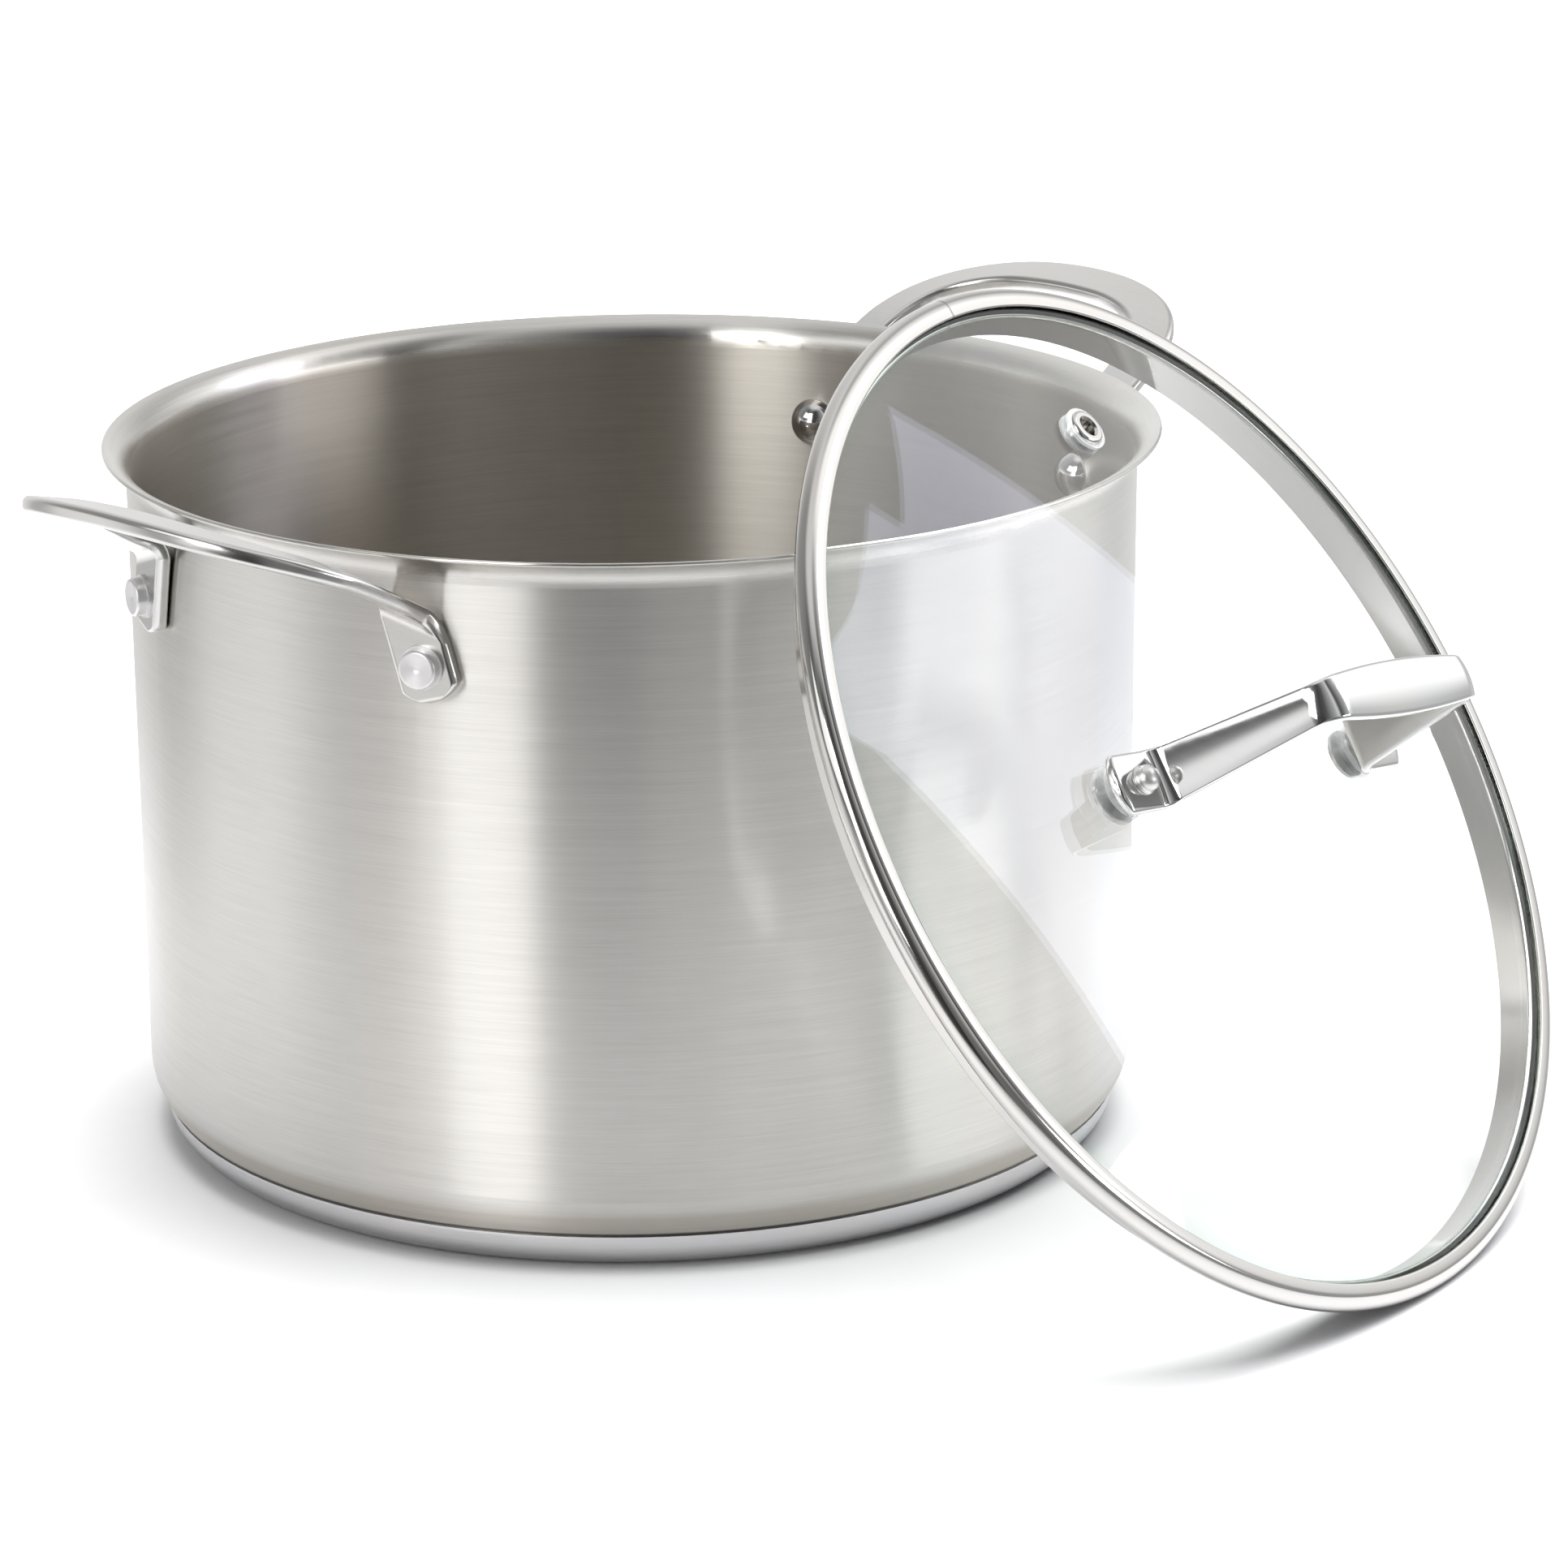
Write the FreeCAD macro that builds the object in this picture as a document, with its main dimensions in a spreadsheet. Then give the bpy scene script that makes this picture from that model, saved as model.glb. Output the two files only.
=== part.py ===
import FreeCAD, Part
import Sketcher
import math
import os

from FreeCAD import Placement, Rotation, Vector

# A straight-sided steel stock pot on a capped base, with two riveted loop handles,
# and its domed glass lid, which stands on edge and leans on the pot's rim.
# Origin: the middle of the base, on the table. +Z is up and the loop handles lie
# along X. Millimetres and degrees.

SIZES = {
    # pot shell
    "wall_outer": (121.0, "outside radius of the straight wall"),
    "wall": (1.0, "thickness of the shell"),
    "flare_from": (163.9, "height where the rim starts to flare"),
    "flare_radius": (6.4, "bend radius of the flare, on the outside"),
    "flare_angle": (80.0, "how far the rim turns outward"),
    "shell_bottom": (4.5, "height of the underside of the shell"),
    "corner": (14.0, "bend radius where wall meets bottom, on the outside"),
    # base
    "core_radius": (106.5, "radius of the aluminium disc"),
    "cap_sheet": (0.6, "thickness of the base cap"),
    "cap_flat": (109.5, "radius of the flat that stands on the table"),
    "cap_bend": (8.0, "bend radius of the cap's edge"),
    "cap_top": (8.6, "height of the cap's upper edge"),
    # loop handles
    "right_azimuth": (-0.5, "direction of the middle of the right handle"),
    "left_azimuth": (181.0, "direction of the middle of the left handle"),
    "rivet_azimuth": (21.8, "angle of each rivet from the handle's middle"),
    "rivet_height": (145.2, "height of the rivets"),
    "plate": (3.8, "thickness of the handle plate"),
    "tab_slant": (15.0, "lean of the tabs, spreading downward"),
    "tab_half": (7.2, "half width of a tab"),
    "tab_straight": (8.5, "tab length above the rivet"),
    "tab_side": (5.2, "straight tab length below the rivet"),
    "tab_end": (8.7, "rounded end of the tab below the rivet"),
    "bend_inner": (3.5, "inner radius of the shoulder bend"),
    "grip_reach": (169.0, "outer edge of the grip from the pot's axis"),
    "grip_length": (39.5, "outer outline, from its widest place to the tip"),
    "grip_half": (49.0, "half width of the grip's outer outline"),
    "hole_reach": (156.0, "inner edge of the grip from the pot's axis"),
    "hole_length": (32.5, "inner outline, from its widest place to the tip"),
    "hole_half": (37.6, "half width of the grip's inner outline"),
    "grip_base": (164.7, "height of the grip surface over the wall"),
    "grip_slope": (0.692, "rise of the grip surface at the wall"),
    "grip_curve": (0.006, "flattening of the rise, per millimetre"),
    "grip_crown": (2.9, "drop of the surface at 50 mm off its middle"),
    "grip_edge": (0.7, "rounding of the plate's edges"),
    # loop handle rivets
    "shank": (3.0, "radius of a rivet shank"),
    "shank_gap": (0.1, "clearance round a rivet shank"),
    "button_radius": (4.5, "radius of the outer rivet button"),
    "button_height": (3.3, "height of the outer rivet button"),
    "collar_radius": (5.1, "radius of the ring under the button"),
    "collar_height": (0.6, "height of the ring under the button"),
    "dome_radius": (6.2, "radius of the inner rivet head"),
    "dome_height": (5.0, "height of the inner rivet head"),
    # lid glass
    "glass": (4.0, "thickness of the glass"),
    "glass_rim": (123.0, "radius of the glass disc"),
    "crown_radius": (120.0, "radius where the glass is crown_edge high"),
    "crown_edge": (2.0, "height of the glass there"),
    "crown_top": (16.9, "height of the glass in the middle"),
    # lid rim band
    "bead_centre": (123.2, "radius of the middle of the rolled bead"),
    "bead_level": (-0.55, "height of the middle of the rolled bead"),
    "bead_radius": (3.2, "outside radius of the rolled bead"),
    "band": (0.6, "sheet thickness of the rim band"),
    "lip_radius": (120.9, "inner edge of the lip on the glass"),
    "skirt_top": (119.2, "outside radius of the skirt at its top"),
    "skirt_low": (118.5, "outside radius of the skirt at its bottom"),
    "skirt_depth": (10.4, "depth of the skirt"),
    # lid strap handle
    "strap": (3.0, "thickness of the strap"),
    "strap_tab": (19.6, "height of the top of the strap's tabs"),
    "strap_top": (62.5, "height of the top of the strap"),
    "strap_foot": (40.5, "where the strap turns up from its tabs"),
    "strap_shoulder": (31.0, "where the strap turns level at the top"),
    "strap_end": (56.8, "tip of the tabs from the middle"),
    "strap_half": (6.6, "half width of the strap at its middle"),
    "strap_waist": (4.8, "half width of the strap at its shoulders"),
    "strap_tab_half": (7.1, "half width of the tabs"),
    "shoulder_bend": (8.0, "outside radius of the shoulder bends"),
    "foot_bend": (3.5, "inside radius of the foot bends"),
    "strap_rivet": (47.5, "rivets from the middle of the strap"),
    "strap_along": (0.6, "strap off the lid's middle, along the strap"),
    "strap_across": (-1.3, "strap off the lid's middle, across the strap"),
    # lid rivets, pads, seals, washers
    "pin": (2.4, "radius of a lid rivet's shank"),
    "pin_head": (3.1, "radius of a lid rivet's head"),
    "pin_head_height": (3.8, "height of a lid rivet's head"),
    "pin_foot": (4.2, "radius of a lid rivet's lower head"),
    "pin_foot_height": (1.6, "height of a lid rivet's lower head"),
    "pad_radius": (6.9, "radius of the pads and seals"),
    "seal_low": (8.6, "height of the underside of the lower seals"),
    "washer_radius": (5.8, "radius of the washers"),
    "washer_sheet": (0.9, "thickness of the washers"),
    "glass_bore": (3.2, "radius of the rivet holes in the glass"),
    # steam vent
    "vent_reach": (86.0, "vent from the middle of the lid"),
    "vent_bore": (2.3, "radius of the steam hole"),
    "vent_barrel": (2.9, "outside radius of the eyelet's barrel"),
    "vent_flange": (4.6, "radius of the eyelet's flanges"),
    "vent_seal_bore": (3.6, "radius of the hole in the glass"),
    "vent_seal_radius": (5.6, "radius of the vent seal's flanges"),
    "vent_seal_sheet": (0.7, "thickness of the vent seal's flanges"),
    # how the lid stands
    "lid_out": (159.0, "middle of the lid from the pot's axis"),
    "lid_azimuth": (-81.5, "direction of the lid from the pot's axis"),
    "lid_level": (107.3, "height of the middle of the lid"),
    "lean_azimuth": (-79.9, "direction that the lid's top faces"),
    "lean_tilt": (57.27, "tilt of the lid from level"),
    "lid_spin": (-9.6, "turn of the strap in the lid's own plane"),
}

doc = FreeCAD.newDocument("stock_pot")
sheet = doc.addObject("Spreadsheet::Sheet", "sizes")
for line, (alias, (number, meaning)) in enumerate(SIZES.items(), start=1):
    sheet.set(f"A{line}", meaning)
    sheet.set(f"B{line}", str(number))
    sheet.setAlias(f"B{line}", alias)
doc.recompute()


class Size:
    """A length or angle as a sheet expression, together with its present value."""

    def __init__(self, text, value):
        self.text = text
        self.value = float(value)

    def __add__(self, other):
        other = as_size(other)
        return Size(f"({self.text} + {other.text})", self.value + other.value)

    def __radd__(self, other):
        return as_size(other) + self

    def __sub__(self, other):
        other = as_size(other)
        return Size(f"({self.text} - {other.text})", self.value - other.value)

    def __rsub__(self, other):
        return as_size(other) - self

    def __mul__(self, other):
        other = as_size(other)
        return Size(f"({self.text} * {other.text})", self.value * other.value)

    def __rmul__(self, other):
        return self * other

    def __truediv__(self, other):
        other = as_size(other)
        return Size(f"({self.text} / {other.text})", self.value / other.value)

    def __neg__(self):
        return Size(f"(-1 * {self.text})", -self.value)


def as_size(number):
    return number if isinstance(number, Size) else Size(repr(float(number)), number)


def size(alias):
    return Size(f"sizes.{alias}", sheet.get(alias))


def root(square):
    return Size(f"sqrt({square.text})", math.sqrt(square.value))


def sine(angle):
    return Size(f"sin({angle.text} * 1 deg)", math.sin(math.radians(angle.value)))


def cosine(angle):
    return Size(f"cos({angle.text} * 1 deg)", math.cos(math.radians(angle.value)))


def new_body(label):
    body = doc.addObject("PartDesign::Body", label)
    body.Label = label
    return body


def new_sketch(body, name, plane):
    sketch = body.newObject("Sketcher::SketchObject", name)
    origin_plane = next(f for f in body.Origin.OriginFeatures if f.Role == plane)
    sketch.AttachmentSupport = [(origin_plane, "")]
    sketch.MapMode = "FlatFace"
    return sketch


def bind(sketch, constraint, amount):
    """Adds a dimension and ties it to the sheet."""
    index = sketch.addConstraint(constraint)
    sketch.setExpression(f"Constraints[{index}]", amount.text)


# Points that say which way an arc of an outline bulges.
FAR_OUT_LOW = (200.0, 0.0)
FAR_OUT_HIGH = (200.0, 175.0)
BELOW_HEAD = (20.0, -20.0)
BELOW_SKIRT = (118.0, -50.0)

# Radius of a rounded sheet edge, as a share of the sheet's thickness.
ROUND_EDGE = 0.52
SOFT_EDGE = 0.7


def outline(sketch, corners, arcs=None):
    """Draws a closed outline through the corners. Each corner is a pair of sizes.
    arcs maps the number of a side to (radius, point that the arc passes near)."""
    arcs = arcs or {}
    count = len(corners)
    points = [Vector(as_size(x).value, as_size(y).value, 0) for x, y in corners]
    sides = []
    for number in range(count):
        start, end = points[number], points[(number + 1) % count]
        if number in arcs:
            radius, near = arcs[number]
            middle = arc_middle(start, end, radius.value, Vector(near[0], near[1], 0))
            clockwise = (middle - start).cross(end - middle).z < 0
            side = Part.Arc(end, middle, start) if clockwise else Part.Arc(start, middle, end)
        else:
            side = Part.LineSegment(start, end)
        sides.append((sketch.addGeometry(side), side))
    ends = []
    for (index, side), start in zip(sides, points):
        forward = (sketch.Geometry[index].StartPoint - start).Length < 1e-6
        ends.append((index, 1 if forward else 2, 2 if forward else 1))
    for number, (index, first, last) in enumerate(ends):
        following = ends[(number + 1) % count]
        join = Sketcher.Constraint("Coincident", index, last, following[0], following[1])
        sketch.addConstraint(join)
    for (index, first, last), (x, y) in zip(ends, corners):
        for kind, amount in (("DistanceX", as_size(x)), ("DistanceY", as_size(y))):
            if abs(amount.value) < 1e-9:
                axis = -2 if kind == "DistanceX" else -1
                sketch.addConstraint(Sketcher.Constraint("PointOnObject", index, first, axis))
            else:
                pair = Sketcher.Constraint(kind, -1, 1, index, first, amount.value)
                bind(sketch, pair, amount)
    for number, (radius, near) in arcs.items():
        bind(sketch, Sketcher.Constraint("Radius", ends[number][0], radius.value), radius)


def arc_middle(start, end, radius, near):
    """The middle of the arc of this radius between two points, on near's side."""
    chord = end - start
    across = Vector(-chord.y, chord.x, 0).normalize()
    if (near - start).dot(across) < 0:
        across = -across
    rise = radius - math.sqrt(max(radius**2 - (chord.Length / 2) ** 2, 0.0))
    return start + chord * 0.5 + across * rise


def circles(sketch, centres, radius):
    """Draws equal circles at the given centres."""
    for x, y in centres:
        x, y = as_size(x), as_size(y)
        ring = sketch.addGeometry(Part.Circle(Vector(x.value, y.value, 0), Vector(0, 0, 1), radius.value))
        bind(sketch, Sketcher.Constraint("Radius", ring, radius.value), radius)
        for kind, amount in (("DistanceX", x), ("DistanceY", y)):
            if abs(amount.value) < 1e-9:
                axis = -2 if kind == "DistanceX" else -1
                sketch.addConstraint(Sketcher.Constraint("PointOnObject", ring, 3, axis))
            else:
                bind(sketch, Sketcher.Constraint(kind, -1, 1, ring, 3, amount.value), amount)


def turned(label, corners, arcs=None):
    """A body of revolution about Z, from a half section drawn as (radius, height)."""
    body = new_body(label)
    sketch = new_sketch(body, f"{label}_section", "XZ_Plane")
    outline(sketch, corners, arcs)
    turn = body.newObject("PartDesign::Revolution", f"{label}_turn")
    turn.Profile = sketch
    turn.ReferenceAxis = (sketch, ["V_Axis"])
    turn.Angle = 360.0
    body.Tip = turn
    doc.recompute()
    return body


def cylinder(name, radius, height, place):
    tool = doc.addObject("Part::Cylinder", name)
    tool.setExpression("Radius", radius.text)
    tool.setExpression("Height", height.text)
    tool.Placement = place
    return tool


def boolean(kind, label, base, tool):
    result = doc.addObject(kind, label)
    result.Base = base
    result.Tool = tool
    result.Label = label
    return result


def drilled(label, base, tools):
    """The base with every tool cut out of it."""
    gather = doc.addObject("Part::MultiFuse", f"{label}_tools")
    gather.Shapes = tools
    return boolean("Part::Cut", label, base, gather)


# ---------------------------------------------------------------- pot shell
wall_outer = size("wall_outer")
wall = size("wall")
wall_inner = wall_outer - wall
corner = size("corner")
corner_inner = corner - wall
shell_bottom = size("shell_bottom")
flare_from = size("flare_from")
flare_outer = size("flare_radius")
flare_inner = flare_outer + wall
flare_middle = wall_outer + flare_outer
flare_cos = cosine(size("flare_angle"))
flare_sin = sine(size("flare_angle"))
lip_out = flare_middle - flare_outer * flare_cos
lip_in = flare_middle - flare_inner * flare_cos
lip_out_height = flare_from + flare_outer * flare_sin
lip_in_height = flare_from + flare_inner * flare_sin

shell = turned(
    "pot_shell",
    [
        (0, shell_bottom),
        (wall_outer - corner, shell_bottom),
        (wall_outer, shell_bottom + corner),
        (wall_outer, flare_from),
        (lip_out, lip_out_height),
        (lip_in, lip_in_height),
        (wall_inner, flare_from),
        (wall_inner, shell_bottom + corner),
        (wall_outer - corner, shell_bottom + wall),
        (0, shell_bottom + wall),
    ],
    {
        1: (corner, FAR_OUT_LOW),
        3: (flare_outer, (100.0, 200.0)),
        4: (wall * ROUND_EDGE, FAR_OUT_HIGH),
        5: (flare_inner, (100.0, 200.0)),
        7: (corner_inner, FAR_OUT_LOW),
    },
)


def radial_place(azimuth, distance, height):
    """A frame on the wall: its Z points away from the pot's axis, its Y points up."""
    angle = math.radians(azimuth)
    outward = Vector(math.cos(angle), math.sin(angle), 0)
    up = Vector(0, 0, 1)
    side = up.cross(outward)
    return Placement(outward * distance + up * height, Rotation(side, up, outward, "ZXY"))


right_azimuth = size("right_azimuth").value
left_azimuth = size("left_azimuth").value
rivet_azimuth = size("rivet_azimuth").value
rivet_height = size("rivet_height").value
RIVETS = {
    "handle_rivet_right_front": right_azimuth - rivet_azimuth,
    "handle_rivet_right_back": right_azimuth + rivet_azimuth,
    "handle_rivet_left_back": left_azimuth - rivet_azimuth,
    "handle_rivet_left_front": left_azimuth + rivet_azimuth,
}
shank_bore = size("shank") + size("shank_gap")
bore_from = wall_outer - 20


def rivet_bores(use, azimuths):
    """Drills for the rivets, straight through the wall and the handle's tabs."""
    places = {
        name: radial_place(azimuth, bore_from.value, rivet_height)
        for name, azimuth in azimuths.items()
    }
    return [
        cylinder(f"{name}_{use}_bore", shank_bore, as_size(40), place)
        for name, place in places.items()
    ]


pot_body = drilled("pot_body", shell, rivet_bores("wall", RIVETS))

# ---------------------------------------------------------------- base
cap_sheet = size("cap_sheet")
cap_flat = size("cap_flat")
cap_bend = size("cap_bend")
cap_top = size("cap_top")
base_core = turned(
    "base_core",
    [
        (0, cap_sheet),
        (size("core_radius"), cap_sheet),
        (size("core_radius"), shell_bottom),
        (0, shell_bottom),
    ],
)
base_cap = turned(
    "base_cap",
    [
        (0, 0),
        (cap_flat, 0),
        (cap_flat + cap_bend, cap_bend),
        (cap_flat + cap_bend, cap_top),
        (cap_flat + cap_bend - cap_sheet, cap_top),
        (cap_flat + cap_bend - cap_sheet, cap_bend),
        (cap_flat, cap_sheet),
        (0, cap_sheet),
    ],
    {1: (cap_bend, FAR_OUT_LOW), 5: (cap_bend - cap_sheet, FAR_OUT_LOW)},
)


# ---------------------------------------------------------------- loop handles
def superellipse(reach, length, half, power, angle):
    """A point of the outline: angle 0 is the tip, 90 degrees the widest place."""
    along = math.cos(angle) ** (2 / power)
    across = math.sin(angle) ** (2 / power)
    return Vector(reach - length + length * along, half * across, 0)


class LoopHandle:
    """The flat plate of the handle at +X: a dished D-shaped grip, whose two legs
    bend down over slanting shoulders into tabs that lie flat on the wall."""

    OUTER_POWER = 2.35
    INNER_POWER = 3.0
    GRIP_ANGLES = (84, 76, 66, 55, 44, 33, 22, 11, 0)

    def __init__(self):
        for alias in SIZES:
            setattr(self, alias, size(alias).value)
        azimuth = math.radians(self.rivet_azimuth)
        self.outward = Vector(math.cos(azimuth), math.sin(azimuth), 0)
        self.sideways = Vector(-math.sin(azimuth), math.cos(azimuth), 0)
        self.rivet = self.outward * self.wall_outer + Vector(0, 0, self.rivet_height)
        slant = math.radians(self.tab_slant)
        up = Vector(0, 0, 1)
        self.tab_up = up * math.cos(slant) - self.sideways * math.sin(slant)
        self.tab_side_way = self.sideways * math.cos(slant) + up * math.sin(slant)

    def height(self, x, y):
        beyond = x - self.wall_outer
        rise = self.grip_slope * beyond - self.grip_curve * beyond**2
        drop = self.grip_crown * (1 + beyond / 50) * (y / 50) ** 2
        return self.grip_base + rise - drop

    def on_grip(self, point):
        return Vector(point.x, point.y, self.height(point.x, point.y))

    def grip_normal(self, point):
        step = 0.01
        slope_x = (self.height(point.x + step, point.y) - self.height(point.x - step, point.y)) / (2 * step)
        slope_y = (self.height(point.x, point.y + step) - self.height(point.x, point.y - step)) / (2 * step)
        return Vector(-slope_x, -slope_y, 1).normalize()

    def section(self, inner, outer, normal, ease):
        """A rounded rectangle with its upper side from inner to outer."""
        width = outer - inner
        normal = (normal - width * (normal.dot(width) / width.dot(width))).normalize()
        across = Vector(width).normalize()
        flat = width.Length
        corners = [(0, 0), (flat, 0), (flat, -self.plate), (0, -self.plate)]
        turns = [(1, 0), (0, -1), (-1, 0), (0, 1)]
        edges = []
        lasting = None
        first = None
        for number, (cx, cy) in enumerate(corners):
            before = turns[number - 1]
            after = turns[number]
            start = (cx - before[0] * ease, cy - before[1] * ease)
            end = (cx + after[0] * ease, cy + after[1] * ease)
            inset = ease * (1 - math.sqrt(0.5))
            middle = (cx + (after[0] - before[0]) * inset, cy + (after[1] - before[1]) * inset)
            start, middle, end = [inner + across * a + normal * b for a, b in (start, middle, end)]
            if lasting is not None:
                edges.append(Part.LineSegment(lasting, start).toShape())
            else:
                first = start
            edges.append(Part.Arc(start, middle, end).toShape())
            lasting = end
        edges.append(Part.LineSegment(lasting, first).toShape())
        return Part.Wire(edges)

    def shoulder_stations(self):
        """Sections of the bend: straight lines parallel to the slanting fold."""
        root_point = Vector(self.wall_outer + 3, 43, 0)
        grip_up = self.grip_normal(root_point)
        fold = grip_up.cross(self.outward).normalize()
        if fold.y < 0:
            fold = -fold
        rise = fold.cross(self.outward).normalize()
        if rise.z < 0:
            rise = -rise
        turn = math.acos(-grip_up.dot(self.outward))
        drift = self.tab_up.dot(fold) / self.tab_up.dot(rise)
        half = self.tab_half / self.tab_up.dot(rise)
        start = self.rivet + self.tab_up * self.tab_straight
        hub = start + self.outward * (self.plate + self.bend_inner)
        outer_radius = self.plate + self.bend_inner
        mean_radius = self.bend_inner + self.plate / 2
        stations = []
        steps = 5
        for step in range(steps):
            angle = turn * step / (steps - 1)
            normal = rise * math.sin(angle) - self.outward * math.cos(angle)
            middle = hub + normal * outer_radius + fold * (drift * mean_radius * angle)
            reach = half * (1 - 0.2 * step / (steps - 1))
            stations.append((middle - fold * reach, middle + fold * reach, normal))
        return stations

    def grip_stations(self):
        leg_inner = self.on_grip(Vector(self.wall_outer + 2.5, self.hole_half + 0.1, 0))
        leg_outer = self.on_grip(Vector(self.wall_outer + 3.0, self.grip_half + 0.5, 0))
        stations = [(leg_inner, leg_outer, self.grip_normal((leg_inner + leg_outer) * 0.5))]
        for degrees in self.GRIP_ANGLES:
            angle = math.radians(degrees)
            outer = superellipse(self.grip_reach, self.grip_length, self.grip_half, self.OUTER_POWER, angle)
            inner = superellipse(self.hole_reach, self.hole_length, self.hole_half, self.INNER_POWER, angle)
            middle = (outer + inner) * 0.5
            stations.append((self.on_grip(inner), self.on_grip(outer), self.grip_normal(middle)))
        return stations

    def tab(self, top_inner, top_outer):
        """The flat tab below the shoulder, with a rounded lower end."""
        def low(across, along):
            return self.rivet + self.tab_side_way * across - self.tab_up * along

        low_inner = low(-self.tab_half, self.tab_side)
        low_outer = low(self.tab_half, self.tab_side)
        low_end = low(0, self.tab_end)
        face = Part.Face(
            Part.Wire(
                [
                    Part.LineSegment(top_inner, low_inner).toShape(),
                    Part.Arc(low_inner, low_end, low_outer).toShape(),
                    Part.LineSegment(low_outer, top_outer).toShape(),
                    Part.LineSegment(top_outer, top_inner).toShape(),
                ]
            )
        )
        return face.extrude(self.outward * self.plate)

    def shape(self):
        half = self.shoulder_stations() + self.grip_stations()
        mirrored = [
            (Vector(a.x, -a.y, a.z), Vector(b.x, -b.y, b.z), Vector(n.x, -n.y, n.z))
            for a, b, n in reversed(half[:-1])
        ]
        sections = [self.section(a, b, n, self.grip_edge) for a, b, n in half + mirrored]
        strip = Part.makeLoft(sections, True, False)
        tab = self.tab(half[0][0], half[0][1])
        other_tab = tab.mirror(Vector(0, 0, 0), Vector(0, 1, 0))
        return strip.fuse([tab, other_tab]).removeSplitter()


def loop_handle(label, plate_shape, turn):
    plate = doc.addObject("Part::Feature", f"{label}_plate")
    plate.Shape = plate_shape
    plate.Placement = Placement(Vector(0, 0, 0), Rotation(Vector(0, 0, 1), turn))
    own = {name: azimuth for name, azimuth in RIVETS.items() if abs(azimuth - turn) < 90}
    return drilled(label, plate, rivet_bores("plate", own))


handle_shape = LoopHandle().shape()
handle_right = loop_handle("handle_right", handle_shape, right_azimuth)
handle_left = loop_handle("handle_left", handle_shape, left_azimuth)

# ---------------------------------------------------------------- loop handle rivets
shank = size("shank")
plate_face = size("plate")
button_radius = size("button_radius")
button_top = plate_face + size("button_height")
collar_radius = size("collar_radius")
collar_top = plate_face + size("collar_height")
dome_radius = size("dome_radius")
dome_height = size("dome_height")
dome_seat = root(wall_inner * wall_inner - dome_radius * dome_radius) - wall_outer
dome_crown = (dome_radius * dome_radius + dome_height * dome_height) / (2 * dome_height)
dish = as_size(0.5)
handle_rivets = []
for name, azimuth in RIVETS.items():
    rivet = turned(
        name,
        [
            (0, dome_seat - dome_height),
            (dome_radius, dome_seat),
            (shank, dome_seat),
            (shank, plate_face),
            (collar_radius, plate_face),
            (collar_radius, collar_top),
            (button_radius, collar_top),
            (button_radius, button_top - 0.7),
            (button_radius - 0.7, button_top),
            (0, button_top - dish),
        ],
        {
            0: (dome_crown, BELOW_HEAD),
            7: (as_size(0.7), (20.0, 20.0)),
        },
    )
    rivet.Placement = radial_place(azimuth, wall_outer.value, rivet_height)
    handle_rivets.append(rivet)

# ---------------------------------------------------------------- lid
# The lid is drawn lying flat, its Z axis through its middle, its strap along X and
# its vent along +Y. lid_place then stands it on edge against the pot.
lid_middle = Vector(
    size("lid_out").value * math.cos(math.radians(size("lid_azimuth").value)),
    size("lid_out").value * math.sin(math.radians(size("lid_azimuth").value)),
    size("lid_level").value,
)
lean = Rotation(Vector(0, 0, 1), size("lean_azimuth").value + 90)
tilt = Rotation(Vector(1, 0, 0), size("lean_tilt").value)
spin = Rotation(Vector(0, 0, 1), size("lid_spin").value)
lid_place = Placement(lid_middle, lean.multiply(tilt).multiply(spin))

crown_radius = size("crown_radius")
crown_edge = size("crown_edge")
crown_top = size("crown_top")
crown_rise = crown_top - crown_edge
dome_out = (crown_radius * crown_radius + crown_rise * crown_rise) / (2 * crown_rise)
dome_in = dome_out - size("glass")
dome_level = crown_top - dome_out
glass_rim = size("glass_rim")


def glass_top(radius):
    return dome_level + root(dome_out * dome_out - radius * radius)


def glass_under(radius):
    return dome_level + root(dome_in * dome_in - radius * radius)


def ball(name, radius, along=as_size(0), across=as_size(0)):
    """A sphere about the centre of the dome, which lies off the middle of the part
    being drawn by the given amounts."""
    sphere = doc.addObject("Part::Sphere", name)
    sphere.setExpression("Radius", radius.text)
    sphere.setExpression("Placement.Base.x", along.text)
    sphere.setExpression("Placement.Base.y", across.text)
    sphere.setExpression("Placement.Base.z", dome_level.text)
    return sphere


glass_blank = cylinder("glass_blank", glass_rim, as_size(60), Placement(Vector(0, 0, -30), Rotation()))
glass_cap = boolean("Part::Common", "glass_cap", glass_blank, ball("glass_ball_out", dome_out))
disc = boolean("Part::Cut", "glass_disc", glass_cap, ball("glass_ball_in", dome_in))
strap_rivet = size("strap_rivet")
strap_along = size("strap_along")
strap_across = size("strap_across")
vent_reach = size("vent_reach")
vent_tilt = math.degrees(math.asin(vent_reach.value / dome_out.value))
vent_place = Placement(
    Vector(0, vent_reach.value, glass_top(vent_reach).value),
    Rotation(Vector(1, 0, 0), -vent_tilt),
)


strap_offset = Placement(Vector(strap_along.value, strap_across.value, 0), Rotation())
SIDES = {"near": -strap_rivet.value, "far": strap_rivet.value}


def upright(x, z):
    return Placement(Vector(x, 0, z), Rotation())


glass_bores = [
    cylinder(f"glass_bore_{side}", size("glass_bore"), as_size(40), strap_offset.multiply(upright(x, -5)))
    for side, x in SIDES.items()
]
vent_bore = cylinder(
    "glass_bore_vent",
    size("vent_seal_bore"),
    as_size(20),
    vent_place.multiply(Placement(Vector(0, 0, -10), Rotation())),
)
lid_glass = drilled("lid_glass", disc, glass_bores + [vent_bore])

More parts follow.
